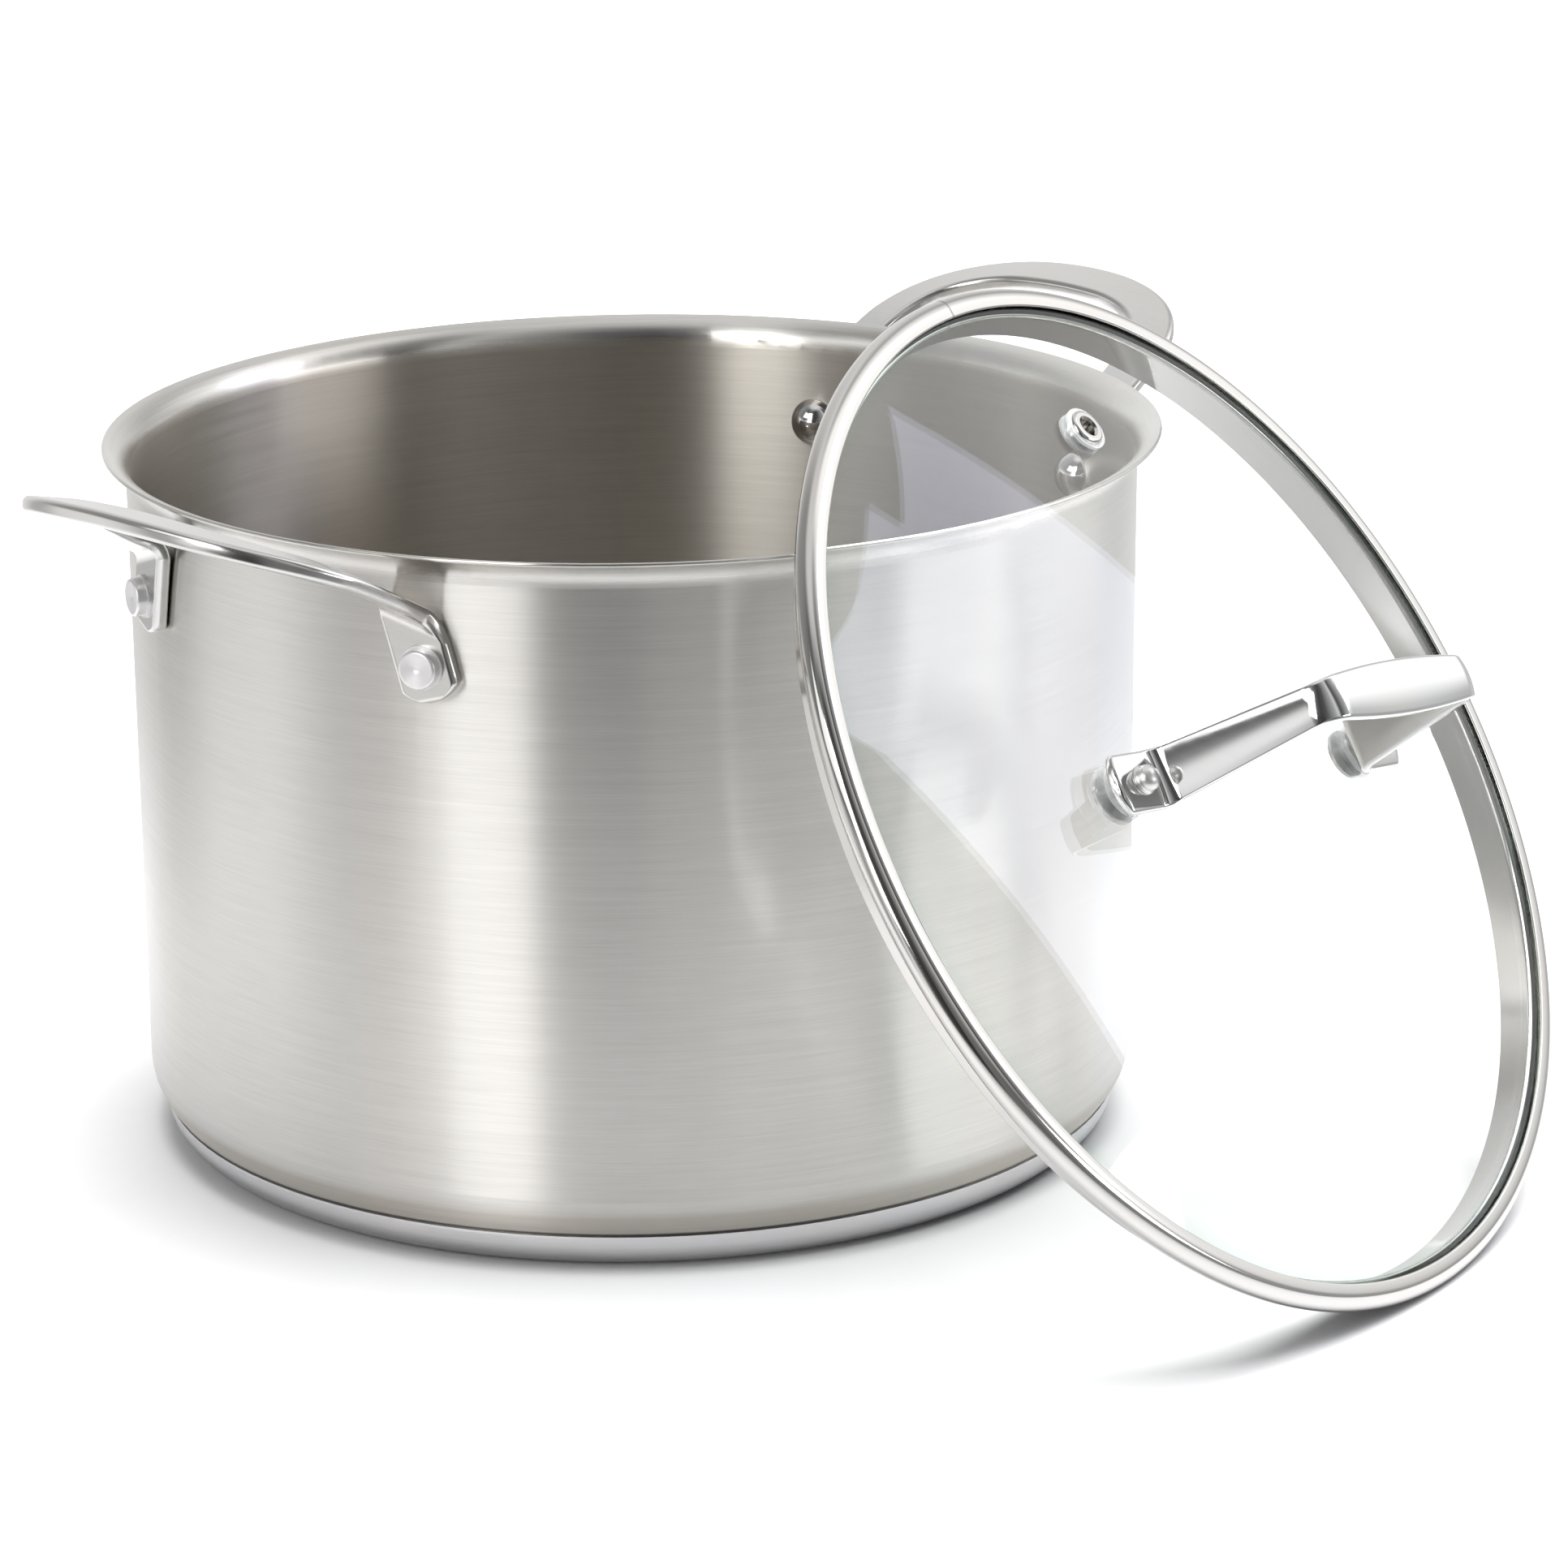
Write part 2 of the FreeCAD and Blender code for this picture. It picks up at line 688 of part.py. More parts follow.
# rim band: a rolled bead round the edge of the glass, and a skirt that drops
# inside the pot
band = size("band")
bead_centre = size("bead_centre")
bead_level = size("bead_level")
bead_outer = size("bead_radius")
bead_inner = bead_outer - band
skirt_top = size("skirt_top")
skirt_low = size("skirt_low")
skirt_depth = size("skirt_depth")
lip_radius = size("lip_radius")
shelf = glass_under(skirt_top) - 0.15
lid_rim = turned(
    "lid_rim",
    [
        (lip_radius, bead_level + bead_outer),
        (bead_centre, bead_level + bead_outer),
        (bead_centre + bead_outer, bead_level),
        (bead_centre, bead_level - bead_outer),
        (skirt_top + 0.5, shelf - band - 0.3),
        (skirt_top, shelf - band - 1.0),
        (skirt_low, -skirt_depth),
        (skirt_low - band, -skirt_depth),
        (skirt_top - band, shelf - 0.6),
        (skirt_top, shelf),
        (bead_centre, bead_level - bead_inner),
        (bead_centre + bead_inner, bead_level),
        (bead_centre, bead_level + bead_inner),
        (lip_radius, bead_level + bead_inner),
    ],
    {
        1: (bead_outer, (200.0, 50.0)),
        2: (bead_outer, (200.0, -50.0)),
        6: (band * SOFT_EDGE, BELOW_SKIRT),
        10: (bead_inner, (200.0, -50.0)),
        11: (bead_inner, (200.0, 50.0)),
    },
)

# strap handle: a flat strap bent into an arch, drawn as its side view, padded to
# its full width, then trimmed to its outline seen from above
strap = size("strap")
strap_tab = size("strap_tab")
strap_top = size("strap_top")
strap_foot = size("strap_foot")
strap_shoulder = size("strap_shoulder")
strap_end = size("strap_end")
leg_run = strap_foot - strap_shoulder
leg_rise = strap_top - strap_tab
leg_length = root(leg_run * leg_run + leg_rise * leg_rise)
# the inside of the strap is the outside moved in by the thickness, so its corners
# shift sideways by the thickness times the tangent of half the turn at the bend
inset = strap * (leg_length - leg_run) / leg_rise

lid_handle = new_body("lid_handle")
side_view = new_sketch(lid_handle, "strap_side", "XZ_Plane")
outline(
    side_view,
    [
        (-strap_end, strap_tab),
        (-strap_foot, strap_tab),
        (-strap_shoulder, strap_top),
        (strap_shoulder, strap_top),
        (strap_foot, strap_tab),
        (strap_end, strap_tab),
        (strap_end, strap_tab - strap),
        (strap_foot - inset, strap_tab - strap),
        (strap_shoulder - inset, strap_top - strap),
        (inset - strap_shoulder, strap_top - strap),
        (inset - strap_foot, strap_tab - strap),
        (-strap_end, strap_tab - strap),
    ],
)
arch = lid_handle.newObject("PartDesign::Pad", "strap_arch")
arch.Profile = side_view
arch.SideType = "Symmetric"
arch.setExpression("Length", "sizes.strap_half * 2")
doc.recompute()


def cross_edges(shape, spots):
    """Names of the straight edges across the strap at the given (x, z) spots."""
    names = []
    for number, edge in enumerate(shape.Edges, start=1):
        middle = edge.CenterOfMass
        across = abs(edge.tangentAt(edge.FirstParameter).y) > 0.99
        near = any(abs(middle.x - x) < 0.05 and abs(middle.z - z) < 0.05 for x, z in spots)
        if across and near:
            names.append(f"Edge{number}")
    return names


def bend(name, base, spots, radius):
    spots = [(sign * x.value, z.value) for x, z in spots for sign in (-1, 1)]
    rounding = lid_handle.newObject("PartDesign::Fillet", name)
    rounding.Base = (base, cross_edges(base.Shape, spots))
    rounding.setExpression("Radius", radius.text)
    lid_handle.Tip = rounding
    doc.recompute()
    return rounding


shoulder_bend = size("shoulder_bend")
foot_bend = size("foot_bend")
solid = bend("shoulder_outer", arch, [(strap_shoulder, strap_top)], shoulder_bend)
solid = bend("shoulder_inner", solid, [(strap_shoulder - inset, strap_top - strap)], shoulder_bend - strap)
solid = bend("foot_inner", solid, [(strap_foot, strap_tab)], foot_bend)
solid = bend("foot_outer", solid, [(strap_foot - inset, strap_tab - strap)], foot_bend + strap)

top_view = new_sketch(lid_handle, "strap_plan", "XY_Plane")
strap_half = size("strap_half")
strap_waist = size("strap_waist")
strap_tab_half = size("strap_tab_half")
frame_x = strap_end + 10
frame_y = strap_half + 10
outline(top_view, [(-frame_x, -frame_y), (frame_x, -frame_y), (frame_x, frame_y), (-frame_x, frame_y)])
waist_bulge = strap_half - strap_waist
middle_arc = (strap_shoulder * strap_shoulder + waist_bulge * waist_bulge) / (2 * waist_bulge)
end_drop = as_size(2.4)
end_arc = (strap_tab_half * strap_tab_half + end_drop * end_drop) / (2 * end_drop)
outline(
    top_view,
    [
        (-strap_shoulder, strap_waist),
        (-strap_foot, strap_tab_half),
        (end_drop - strap_end, strap_tab_half),
        (end_drop - strap_end, -strap_tab_half),
        (-strap_foot, -strap_tab_half),
        (-strap_shoulder, -strap_waist),
        (strap_shoulder, -strap_waist),
        (strap_foot, -strap_tab_half),
        (strap_end - end_drop, -strap_tab_half),
        (strap_end - end_drop, strap_tab_half),
        (strap_foot, strap_tab_half),
        (strap_shoulder, strap_waist),
    ],
    {
        2: (end_arc, (-100.0, 0.0)),
        5: (middle_arc, (0.0, -100.0)),
        8: (end_arc, (100.0, 0.0)),
        11: (middle_arc, (0.0, 100.0)),
    },
)
trim = lid_handle.newObject("PartDesign::Pocket", "strap_trim")
trim.Profile = top_view
trim.Type = "ThroughAll"
trim.Reversed = True
lid_handle.Tip = trim
doc.recompute()

bore_view = new_sketch(lid_handle, "strap_bores", "XY_Plane")
circles(bore_view, [(-strap_rivet, 0), (strap_rivet, 0)], size("pin") + 0.1)
bores = lid_handle.newObject("PartDesign::Pocket", "strap_bore_cut")
bores.Profile = bore_view
bores.Type = "ThroughAll"
bores.Reversed = True
lid_handle.Tip = bores
doc.recompute()

# pads over the glass, seals and washers under it, and the two lid rivets
pad_radius = size("pad_radius")
seal_low = size("seal_low")
washer_sheet = size("washer_sheet")
pin = size("pin")
pin_bore = pin + 0.1


def bored(label, base, x):
    bore = cylinder(f"{label}_bore", pin_bore, as_size(40), upright(x, -5))
    return boolean("Part::Cut", label, base, bore)


lid_fittings = []
for side, x in SIDES.items():
    pad_blank = cylinder(f"pad_blank_{side}", pad_radius, as_size(6), Placement())
    pad_blank.Placement.Base = Vector(x, 0, 0)
    pad_blank.setExpression("Placement.Base.z", (strap_tab - strap - 6).text)
    pad_ball = ball(f"pad_ball_{side}", dome_out, -strap_along, -strap_across)
    pad_solid = boolean("Part::Cut", f"pad_solid_{side}", pad_blank, pad_ball)
    pad = bored(f"lid_pad_{side}", pad_solid, x)

    seal_blank = cylinder(f"seal_blank_{side}", pad_radius, as_size(6), upright(x, seal_low.value))
    seal_ball = ball(f"seal_ball_{side}", dome_in, -strap_along, -strap_across)
    seal_solid = boolean("Part::Common", f"seal_solid_{side}", seal_blank, seal_ball)
    seal = bored(f"lid_seal_{side}", seal_solid, x)

    washer_low = seal_low - washer_sheet
    washer_spot = upright(x, washer_low.value)
    washer_radius = size("washer_radius")
    washer_blank = cylinder(f"washer_blank_{side}", washer_radius, washer_sheet, washer_spot)
    washer = bored(f"lid_washer_{side}", washer_blank, x)

    pin_head = size("pin_head")
    head_top = strap_tab + size("pin_head_height")
    pin_foot = size("pin_foot")
    foot_height = size("pin_foot_height")
    foot_crown = (pin_foot * pin_foot + foot_height * foot_height) / (2 * foot_height)
    rivet = turned(
        f"lid_rivet_{side}",
        [
            (0, washer_low - foot_height),
            (pin_foot, washer_low),
            (pin, washer_low),
            (pin, strap_tab),
            (pin_head + 0.4, strap_tab),
            (pin_head + 0.4, strap_tab + 0.5),
            (pin_head, strap_tab + 0.5),
            (pin_head, head_top - 0.6),
            (pin_head - 0.6, head_top),
            (0, head_top - 0.3),
        ],
        {
            0: (foot_crown, BELOW_HEAD),
            7: (as_size(0.6), (20.0, 60.0)),
        },
    )
    rivet.Placement = upright(x, 0)
    lid_fittings += [pad, seal, washer, rivet]

# steam vent: a rubber grommet in the glass, and a steel eyelet through it
glass_sheet = size("glass")
vent_seal_bore = size("vent_seal_bore")
vent_seal_radius = size("vent_seal_radius")
vent_seal_sheet = size("vent_seal_sheet")
vent_barrel = size("vent_barrel")
vent_flange = size("vent_flange")
seal_over = as_size(0.05)
seal_under = -glass_sheet - 0.05
vent_seal = turned(
    "vent_seal",
    [
        (vent_barrel + 0.1, seal_over + vent_seal_sheet),
        (vent_seal_radius, seal_over + vent_seal_sheet),
        (vent_seal_radius, seal_over),
        (vent_seal_bore - 0.1, seal_over),
        (vent_seal_bore - 0.1, seal_under),
        (vent_seal_radius, seal_under),
        (vent_seal_radius, seal_under - vent_seal_sheet),
        (vent_barrel + 0.1, seal_under - vent_seal_sheet),
    ],
)
eyelet_over = seal_over + vent_seal_sheet
eyelet_under = seal_under - vent_seal_sheet
eyelet_roll = as_size(0.9)
vent_eyelet = turned(
    "vent_eyelet",
    [
        (size("vent_bore"), eyelet_under - 0.6),
        (vent_flange - 0.4, eyelet_under - 0.6),
        (vent_flange - 0.4, eyelet_under),
        (vent_barrel, eyelet_under),
        (vent_barrel, eyelet_over),
        (vent_flange, eyelet_over),
        (vent_flange - 0.9, eyelet_over + eyelet_roll),
        (size("vent_bore") + 0.5, eyelet_over + eyelet_roll),
        (size("vent_bore"), eyelet_over + 0.3),
    ],
    {5: (eyelet_roll, (20.0, 20.0))},
)
for piece in (vent_seal, vent_eyelet):
    piece.Placement = lid_place.multiply(vent_place)
for piece in (lid_glass, lid_rim):
    piece.Placement = lid_place
for piece in [lid_handle] + lid_fittings:
    piece.Placement = lid_place.multiply(strap_offset).multiply(piece.Placement)

doc.recompute()

# ---------------------------------------------------------------- check and write
sub_parts = [pot_body, base_core, base_cap, handle_left, handle_right]
sub_parts += handle_rivets
sub_parts += [lid_glass, lid_rim, lid_handle, vent_eyelet, vent_seal]
sub_parts += lid_fittings

for item in doc.Objects:
    if "Invalid" in item.State or "Error" in item.State:
        raise RuntimeError(f"{item.Name} failed: {item.State}")
for item in sub_parts:
    shape = item.Shape
    if shape.isNull() or not shape.isValid() or len(shape.Solids) != 1:
        raise RuntimeError(f"{item.Label} is not one valid solid")
    if item.Label != item.Name:
        raise RuntimeError(f"{item.Name} is labelled {item.Label}")

os.makedirs("parts", exist_ok=True)
for item in sub_parts:
    item.Shape.exportStep(f"parts/{item.Label}.step")
    box = item.Shape.BoundBox
    print(f"{item.Label:28s} {item.Shape.Volume:12.1f} mm3  x {box.XMin:8.2f} {box.XMax:8.2f}"
          f"  y {box.YMin:8.2f} {box.YMax:8.2f}  z {box.ZMin:8.2f} {box.ZMax:8.2f}")
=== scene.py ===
import math

import bmesh
import bpy
from mathutils import Matrix, Vector


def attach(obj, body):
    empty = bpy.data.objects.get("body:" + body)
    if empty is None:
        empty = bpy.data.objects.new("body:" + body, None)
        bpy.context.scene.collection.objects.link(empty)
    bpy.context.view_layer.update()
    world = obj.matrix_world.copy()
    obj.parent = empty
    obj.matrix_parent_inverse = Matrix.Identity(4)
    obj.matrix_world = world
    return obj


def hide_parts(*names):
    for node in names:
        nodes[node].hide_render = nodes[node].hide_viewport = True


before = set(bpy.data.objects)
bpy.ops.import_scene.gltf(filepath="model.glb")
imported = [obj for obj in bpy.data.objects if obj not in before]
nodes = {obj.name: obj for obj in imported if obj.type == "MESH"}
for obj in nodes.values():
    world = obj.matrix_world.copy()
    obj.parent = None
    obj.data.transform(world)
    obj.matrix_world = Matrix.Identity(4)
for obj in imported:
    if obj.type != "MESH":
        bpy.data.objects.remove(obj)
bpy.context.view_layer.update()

MM = 0.001

# The lid lies flat in its own frame: its middle, and the turns that stand it on edge.
LID_MIDDLE = (0.02350, -0.15725, 0.10730)
LID_LEAN = math.radians(10.1)
LID_TILT = math.radians(57.27)
LID_SPIN = math.radians(-9.6)
LID_TURN = (
    Matrix.Rotation(LID_LEAN, 3, "Z")
    @ Matrix.Rotation(LID_TILT, 3, "X")
    @ Matrix.Rotation(LID_SPIN, 3, "Z")
)

# The camera looks along +Y before this turn about Z, so it stands on the other side.
CAMERA_SWING = math.radians(-45.0)
CAMERA_SIDE = CAMERA_SWING - math.pi / 2


# ---------------------------------------------------------------- node helpers
def rgb(red, green, blue):
    return (red, green, blue, 1.0)


class NodeTree:
    """Short calls for adding and joining the nodes of one tree."""

    def __init__(self, tree):
        self.tree = tree
        self.tree.nodes.clear()

    def add(self, kind, **settings):
        node = self.tree.nodes.new(kind)
        for name, value in settings.items():
            setattr(node, name, value)
        return node

    def join(self, source, target):
        self.tree.links.new(source, target)

    def feed(self, target, value):
        """Joins a socket, or sets a plain value."""
        if isinstance(value, bpy.types.NodeSocket):
            self.join(value, target)
        else:
            target.default_value = value

    def math(self, operation, first, second=0.0):
        node = self.add("ShaderNodeMath", operation=operation)
        for socket, value in zip(node.inputs, (first, second)):
            self.feed(socket, value)
        return node.outputs[0]

    def plus(self, first, second):
        return self.math("ADD", first, second)

    def minus(self, first, second):
        return self.math("SUBTRACT", first, second)

    def times(self, first, second):
        return self.math("MULTIPLY", first, second)

    def blend(self, factor, first, second):
        node = self.add("ShaderNodeMix", data_type="RGBA")
        self.feed(node.inputs[0], factor)
        self.feed(node.inputs[6], first)
        self.feed(node.inputs[7], second)
        return node.outputs[2]

    def either(self, factor, first, second):
        """The first shader where factor is 0, the second where it is 1."""
        node = self.add("ShaderNodeMixShader")
        self.join(factor, node.inputs[0])
        self.join(first, node.inputs[1])
        self.join(second, node.inputs[2])
        return node.outputs[0]

    def span(self, value, low, high, new_low, new_high, curve="LINEAR"):
        """Carries the range low..high over to new_low..new_high."""
        node = self.add("ShaderNodeMapRange", interpolation_type=curve)
        self.feed(node.inputs[0], value)
        for index, number in enumerate((low, high, new_low, new_high), start=1):
            self.feed(node.inputs[index], number)
        return node.outputs[0]

    def noise(self, vector, scale, detail, rough):
        node = self.add("ShaderNodeTexNoise")
        self.join(vector, node.inputs["Vector"])
        node.inputs["Scale"].default_value = scale
        node.inputs["Detail"].default_value = detail
        node.inputs["Roughness"].default_value = rough
        return node.outputs["Fac"]

    def vector(self, x, y, z):
        node = self.add("ShaderNodeCombineXYZ")
        for socket, value in zip(node.inputs, (x, y, z)):
            self.feed(socket, value)
        return node.outputs[0]

    def parts(self, vector):
        node = self.add("ShaderNodeSeparateXYZ")
        self.join(vector, node.inputs[0])
        return node.outputs


class Shader(NodeTree):
    """A material with one main surface."""

    def __init__(self, name):
        self.material = bpy.data.materials.new(name)
        self.material.use_nodes = True
        super().__init__(self.material.node_tree)
        self.surface = self.add("ShaderNodeBsdfPrincipled")
        self.output = self.add("ShaderNodeOutputMaterial")
        self.show(self.surface.outputs["BSDF"])

    def show(self, result):
        self.join(result, self.output.inputs["Surface"])

    def set(self, **sockets):
        for name, value in sockets.items():
            self.feed(self.surface.inputs[name.replace("_", " ")], value)

    def place(self):
        """Position in the object frame."""
        return self.add("ShaderNodeTexCoord").outputs["Object"]

    def lid_place(self):
        """Position in the lid's own frame, where its axis is Z."""
        turn = self.add("ShaderNodeMapping", vector_type="TEXTURE")
        self.join(self.place(), turn.inputs["Vector"])
        turn.inputs["Location"].default_value = LID_MIDDLE
        turn.inputs["Rotation"].default_value = LID_TURN.to_euler("XYZ")
        return turn.outputs[0]

    def radius(self, vector):
        """Distance from the Z axis."""
        x, y, z = self.parts(vector)
        return self.math("SQRT", self.plus(self.times(x, x), self.times(y, y)))

    def rings(self, vector, along, across):
        """Coordinates that stretch a noise into rings round the Z axis."""
        x, y, z = self.parts(vector)
        level = self.plus(z, self.radius(vector))
        return self.vector(self.times(x, along), self.times(y, along), self.times(level, across))

    def bump(self, height, strength, distance):
        node = self.add("ShaderNodeBump")
        node.inputs["Strength"].default_value = strength
        node.inputs["Distance"].default_value = distance
        self.join(height, node.inputs["Height"])
        self.join(node.outputs[0], self.surface.inputs["Normal"])


# ---------------------------------------------------------------- steel and aluminium
WARM = (1.03, 0.985, 0.94)
COOL = (0.975, 1.0, 0.985)
CAST_SHARE = 0.35
STRIPE_SCALE = 38.0
CLOUD_SCALE = 22.0
GRAIN_HEIGHT = 0.00002
QUARTER_TURN = 0.25

# Places on the pot, in metres: radii between which its inside ends, and heights.
RIVET_INSIDE = (0.1192, 0.1198)
WALL_INSIDE = (0.1202, 0.1208)
LIP = (0.1645, 0.1665)
CREASE_HEIGHT = 0.0091
# Where the rim band is welded, round the lid, and how far aside the weld fades out.
SEAM = math.radians(100.5)
SEAM_FADE = (0.0002, 0.0005)


def grain_places(shader, place, lines, along_scale, across_scale):
    """Coordinates for the fine and the broad noise of the grain."""
    if lines == "round":
        fine = shader.rings(place, along_scale, across_scale)
        broad = shader.rings(place, along_scale * 0.5, across_scale * 0.22)
        return fine, broad
    x, y, z = shader.parts(place)
    along, across = (x, y) if lines == "x" else (y, x)
    across = shader.plus(across, z)
    fine = shader.vector(shader.times(along, along_scale), shader.times(across, across_scale), 0.0)
    broad = shader.vector(
        shader.times(along, along_scale * 0.3), shader.times(across, across_scale * 0.16), 3.7
    )
    return fine, broad


def tinted(tint, shares):
    return rgb(*(min(1.0, level * share) for level, share in zip(tint, shares)))


def metal(
    name, tint, roughness, lines, along, across, depth,
    bump=0.25, swing=0.05, anisotropy=0.0, lid=False, detail=None,
):
    """Metal with a fine grain.

    lines says how the grain runs: round, x or y. along and across are its scales, depth
    is how far it shades the tint, and swing is how far the roughness wanders. detail
    adds what one piece alone has."""
    shader = Shader(name)
    place = shader.lid_place() if lid else shader.place()
    fine, broad = grain_places(shader, place, lines, along, across)
    grain = shader.noise(fine, 1.0, 3.0, 0.6)
    streaks = shader.noise(broad, 1.0, 4.0, 0.65)
    shade = shader.plus(shader.times(grain, 0.55), shader.times(streaks, 0.45))
    dark, light = tinted(tint, (1 - depth,) * 3), tinted(tint, (1 + depth,) * 3)
    base = shader.blend(shader.span(shade, 0.32, 0.68, 0.0, 1.0), dark, light)

    x, y, z = shader.parts(place)
    columns = shader.vector(shader.times(x, STRIPE_SCALE), shader.times(y, STRIPE_SCALE), 9.1)
    stripes = shader.span(shader.noise(columns, 1.0, 2.0, 0.5), 0.35, 0.65, 0.0, 1.0)
    cast = shader.blend(stripes, tinted(tint, WARM), tinted(tint, COOL))
    colour = shader.blend(CAST_SHARE, base, cast)

    cloud = shader.noise(place, CLOUD_SCALE, 3.0, 0.55)
    uneven = shader.plus(shader.times(streaks, 0.6), shader.times(cloud, 0.4))
    rough = shader.span(uneven, 0.3, 0.7, roughness - swing, roughness + swing)
    if detail:
        colour, rough, shade = detail(shader, place, colour, rough, shade)
    shader.set(Base_Color=colour, Metallic=1.0, Roughness=rough)
    shader.bump(shade, bump, GRAIN_HEIGHT)
    if anisotropy:
        shader.set(Anisotropic=anisotropy, Anisotropic_Rotation=QUARTER_TURN)
        tangent = shader.add("ShaderNodeTangent", direction_type="RADIAL", axis="Z")
        shader.join(tangent.outputs[0], shader.surface.inputs["Tangent"])
    return shader.material


def polished_inside(shader, place, colour, rough, shade):
    """The heads of the handle rivets are polished inside the pot."""
    outside = shader.span(shader.radius(place), *RIVET_INSIDE, 0.0, 1.0)
    rough = shader.math("MAXIMUM", 0.07, shader.times(rough, outside))
    return shader.blend(outside, rgb(0.66, 0.655, 0.65), colour), rough, shade


def wall_detail(shader, place, colour, rough, shade):
    """The inside is warmer and duller, the lip smoother, and a dark line of painted shade lies in the
    crease above the upper edge of the base cap."""
    x, y, z = shader.parts(place)
    lip = shader.span(z, *LIP, 0.0, 1.0)
    inside = shader.span(shader.radius(place), *WALL_INSIDE, 1.0, 0.0)
    inside = shader.times(inside, shader.minus(1.0, lip))
    rough = shader.plus(rough, shader.times(inside, 0.06))
    rough = shader.times(rough, shader.span(lip, 0.0, 1.0, 1.0, 0.75))
    # the inside below the lip is tinted warmer and darker
    inside_tint = shader.blend(1.0, colour, rgb(0.86, 0.83, 0.79))
    inside_tint.node.blend_type = "MULTIPLY"
    colour = shader.blend(inside, colour, inside_tint)
    # painted shade: the wall colour is darkened to near black in a thin line along the crease above the
    # base cap
    from_crease = shader.math("ABSOLUTE", shader.minus(z, CREASE_HEIGHT))
    painted_crease_shade = shader.span(from_crease, 0.0002, 0.0006, 0.85, 0.0)
    return shader.blend(painted_crease_shade, colour, rgb(0.07, 0.07, 0.07)), rough, shade


def weld_seam(shader, place, colour, rough, shade):
    """A dull sunken line across the rim band, on one side of the lid."""
    x, y, z = shader.parts(place)
    sine, cosine = math.sin(SEAM), math.cos(SEAM)
    aside = shader.plus(shader.times(x, -sine), shader.times(y, cosine))
    ahead = shader.plus(shader.times(x, cosine), shader.times(y, sine))
    line = shader.span(shader.math("ABSOLUTE", aside), *SEAM_FADE, 1.0, 0.0)
    line = shader.times(line, shader.math("GREATER_THAN", ahead, 0.0))
    rough = shader.plus(rough, shader.times(line, 0.3))
    colour = shader.blend(line, colour, rgb(0.36, 0.35, 0.34))
    return colour, rough, shader.minus(shade, line)


wall_steel = metal(
    "wall_steel", (0.66, 0.648, 0.624), 0.32, "round", along=42.0, across=3200.0, depth=0.11,
    bump=0.03, swing=0.03, anisotropy=0.98, detail=wall_detail,
)
base_steel = metal(
    "base_steel", (0.73, 0.725, 0.735), 0.33, "round", along=9.0, across=2600.0, depth=0.04,
    bump=0.1, anisotropy=0.5,
)
handle_steel = metal(
    "handle_steel", (0.66, 0.652, 0.64), 0.22, "y", along=90.0, across=2500.0, depth=0.05, bump=0.12
)
rivet_steel = metal(
    "rivet_steel", (0.82, 0.82, 0.83), 0.44, "y", along=900.0, across=2500.0, depth=0.05,
    bump=0.15, detail=polished_inside,
)
lid_rivet_steel = metal(
    "lid_rivet_steel", (0.80, 0.80, 0.80), 0.40, "round", along=400.0, across=2200.0, depth=0.05,
    bump=0.12, lid=True,
)
polished = metal(
    "polished_steel", (0.70, 0.69, 0.675), 0.09, "round", along=9.0, across=3000.0, depth=0.03,
    bump=0.08, swing=0.03, lid=True,
)
strap_steel = metal(
    "strap_steel", (0.78, 0.785, 0.785), 0.085, "x", along=60.0, across=2500.0, depth=0.02,
    bump=0.05, swing=0.025, lid=True,
)
rim_steel = metal(
    "rim_steel", (0.63, 0.62, 0.605), 0.11, "round", along=9.0, across=3000.0, depth=0.03,
    bump=0.08, swing=0.03, lid=True, detail=weld_seam,
)
core_metal = metal(
    "core_aluminium", (0.72, 0.72, 0.73), 0.42, "round", along=9.0, across=1500.0, depth=0.06
)


# ---------------------------------------------------------------- silicone and glass
GLASS_EDGE = (0.116, 0.1225)  # radii between which the glass turns green


def clear_rubber():
    shader = Shader("clear_silicone")
    cloud = shader.noise(shader.place(), 900.0, 3.0, 0.6)
    tone = shader.blend(cloud, rgb(0.80, 0.82, 0.82), rgb(0.93, 0.94, 0.94))
    shader.set(Base_Color=tone, Roughness=shader.span(cloud, 0.3, 0.7, 0.16, 0.30), IOR=1.41, Alpha=0.38)
    shader.bump(cloud, 0.1, 0.00002)
    return shader.material


def glass():
    """Slightly wavy glass, with a green edge. Its shadow is a plain pale one."""
    shader = Shader("lid_glass")
    place = shader.lid_place()
    edge = shader.span(shader.radius(place), *GLASS_EDGE, 0.0, 1.0)
    tint = shader.blend(edge, rgb(0.985, 0.995, 0.99), rgb(0.80, 0.90, 0.86))
    smear = shader.noise(place, 60.0, 3.0, 0.6)
    haze = shader.span(smear, 0.45, 0.80, 0.0, 0.012)
    shader.set(Base_Color=tint, Roughness=haze, IOR=1.5, Transmission_Weight=1.0)
    ripple = shader.noise(place, 9.0, 1.0, 0.4)
    shader.bump(ripple, 0.02, 0.0002)
    clear = shader.add("ShaderNodeBsdfTransparent")
    clear.inputs["Color"].default_value = rgb(0.96, 0.97, 0.965)
    path = shader.add("ShaderNodeLightPath")
    in_shadow = path.outputs["Is Shadow Ray"]
    shader.show(shader.either(in_shadow, shader.surface.outputs[0], clear.outputs[0]))
    return shader.material


silicone = clear_rubber()
clear_glass = glass()


# ---------------------------------------------------------------- materials of the CAD nodes
def finish_node(name, material):
    node = nodes[name]
    node.data.materials.clear()
    node.data.materials.append(material)


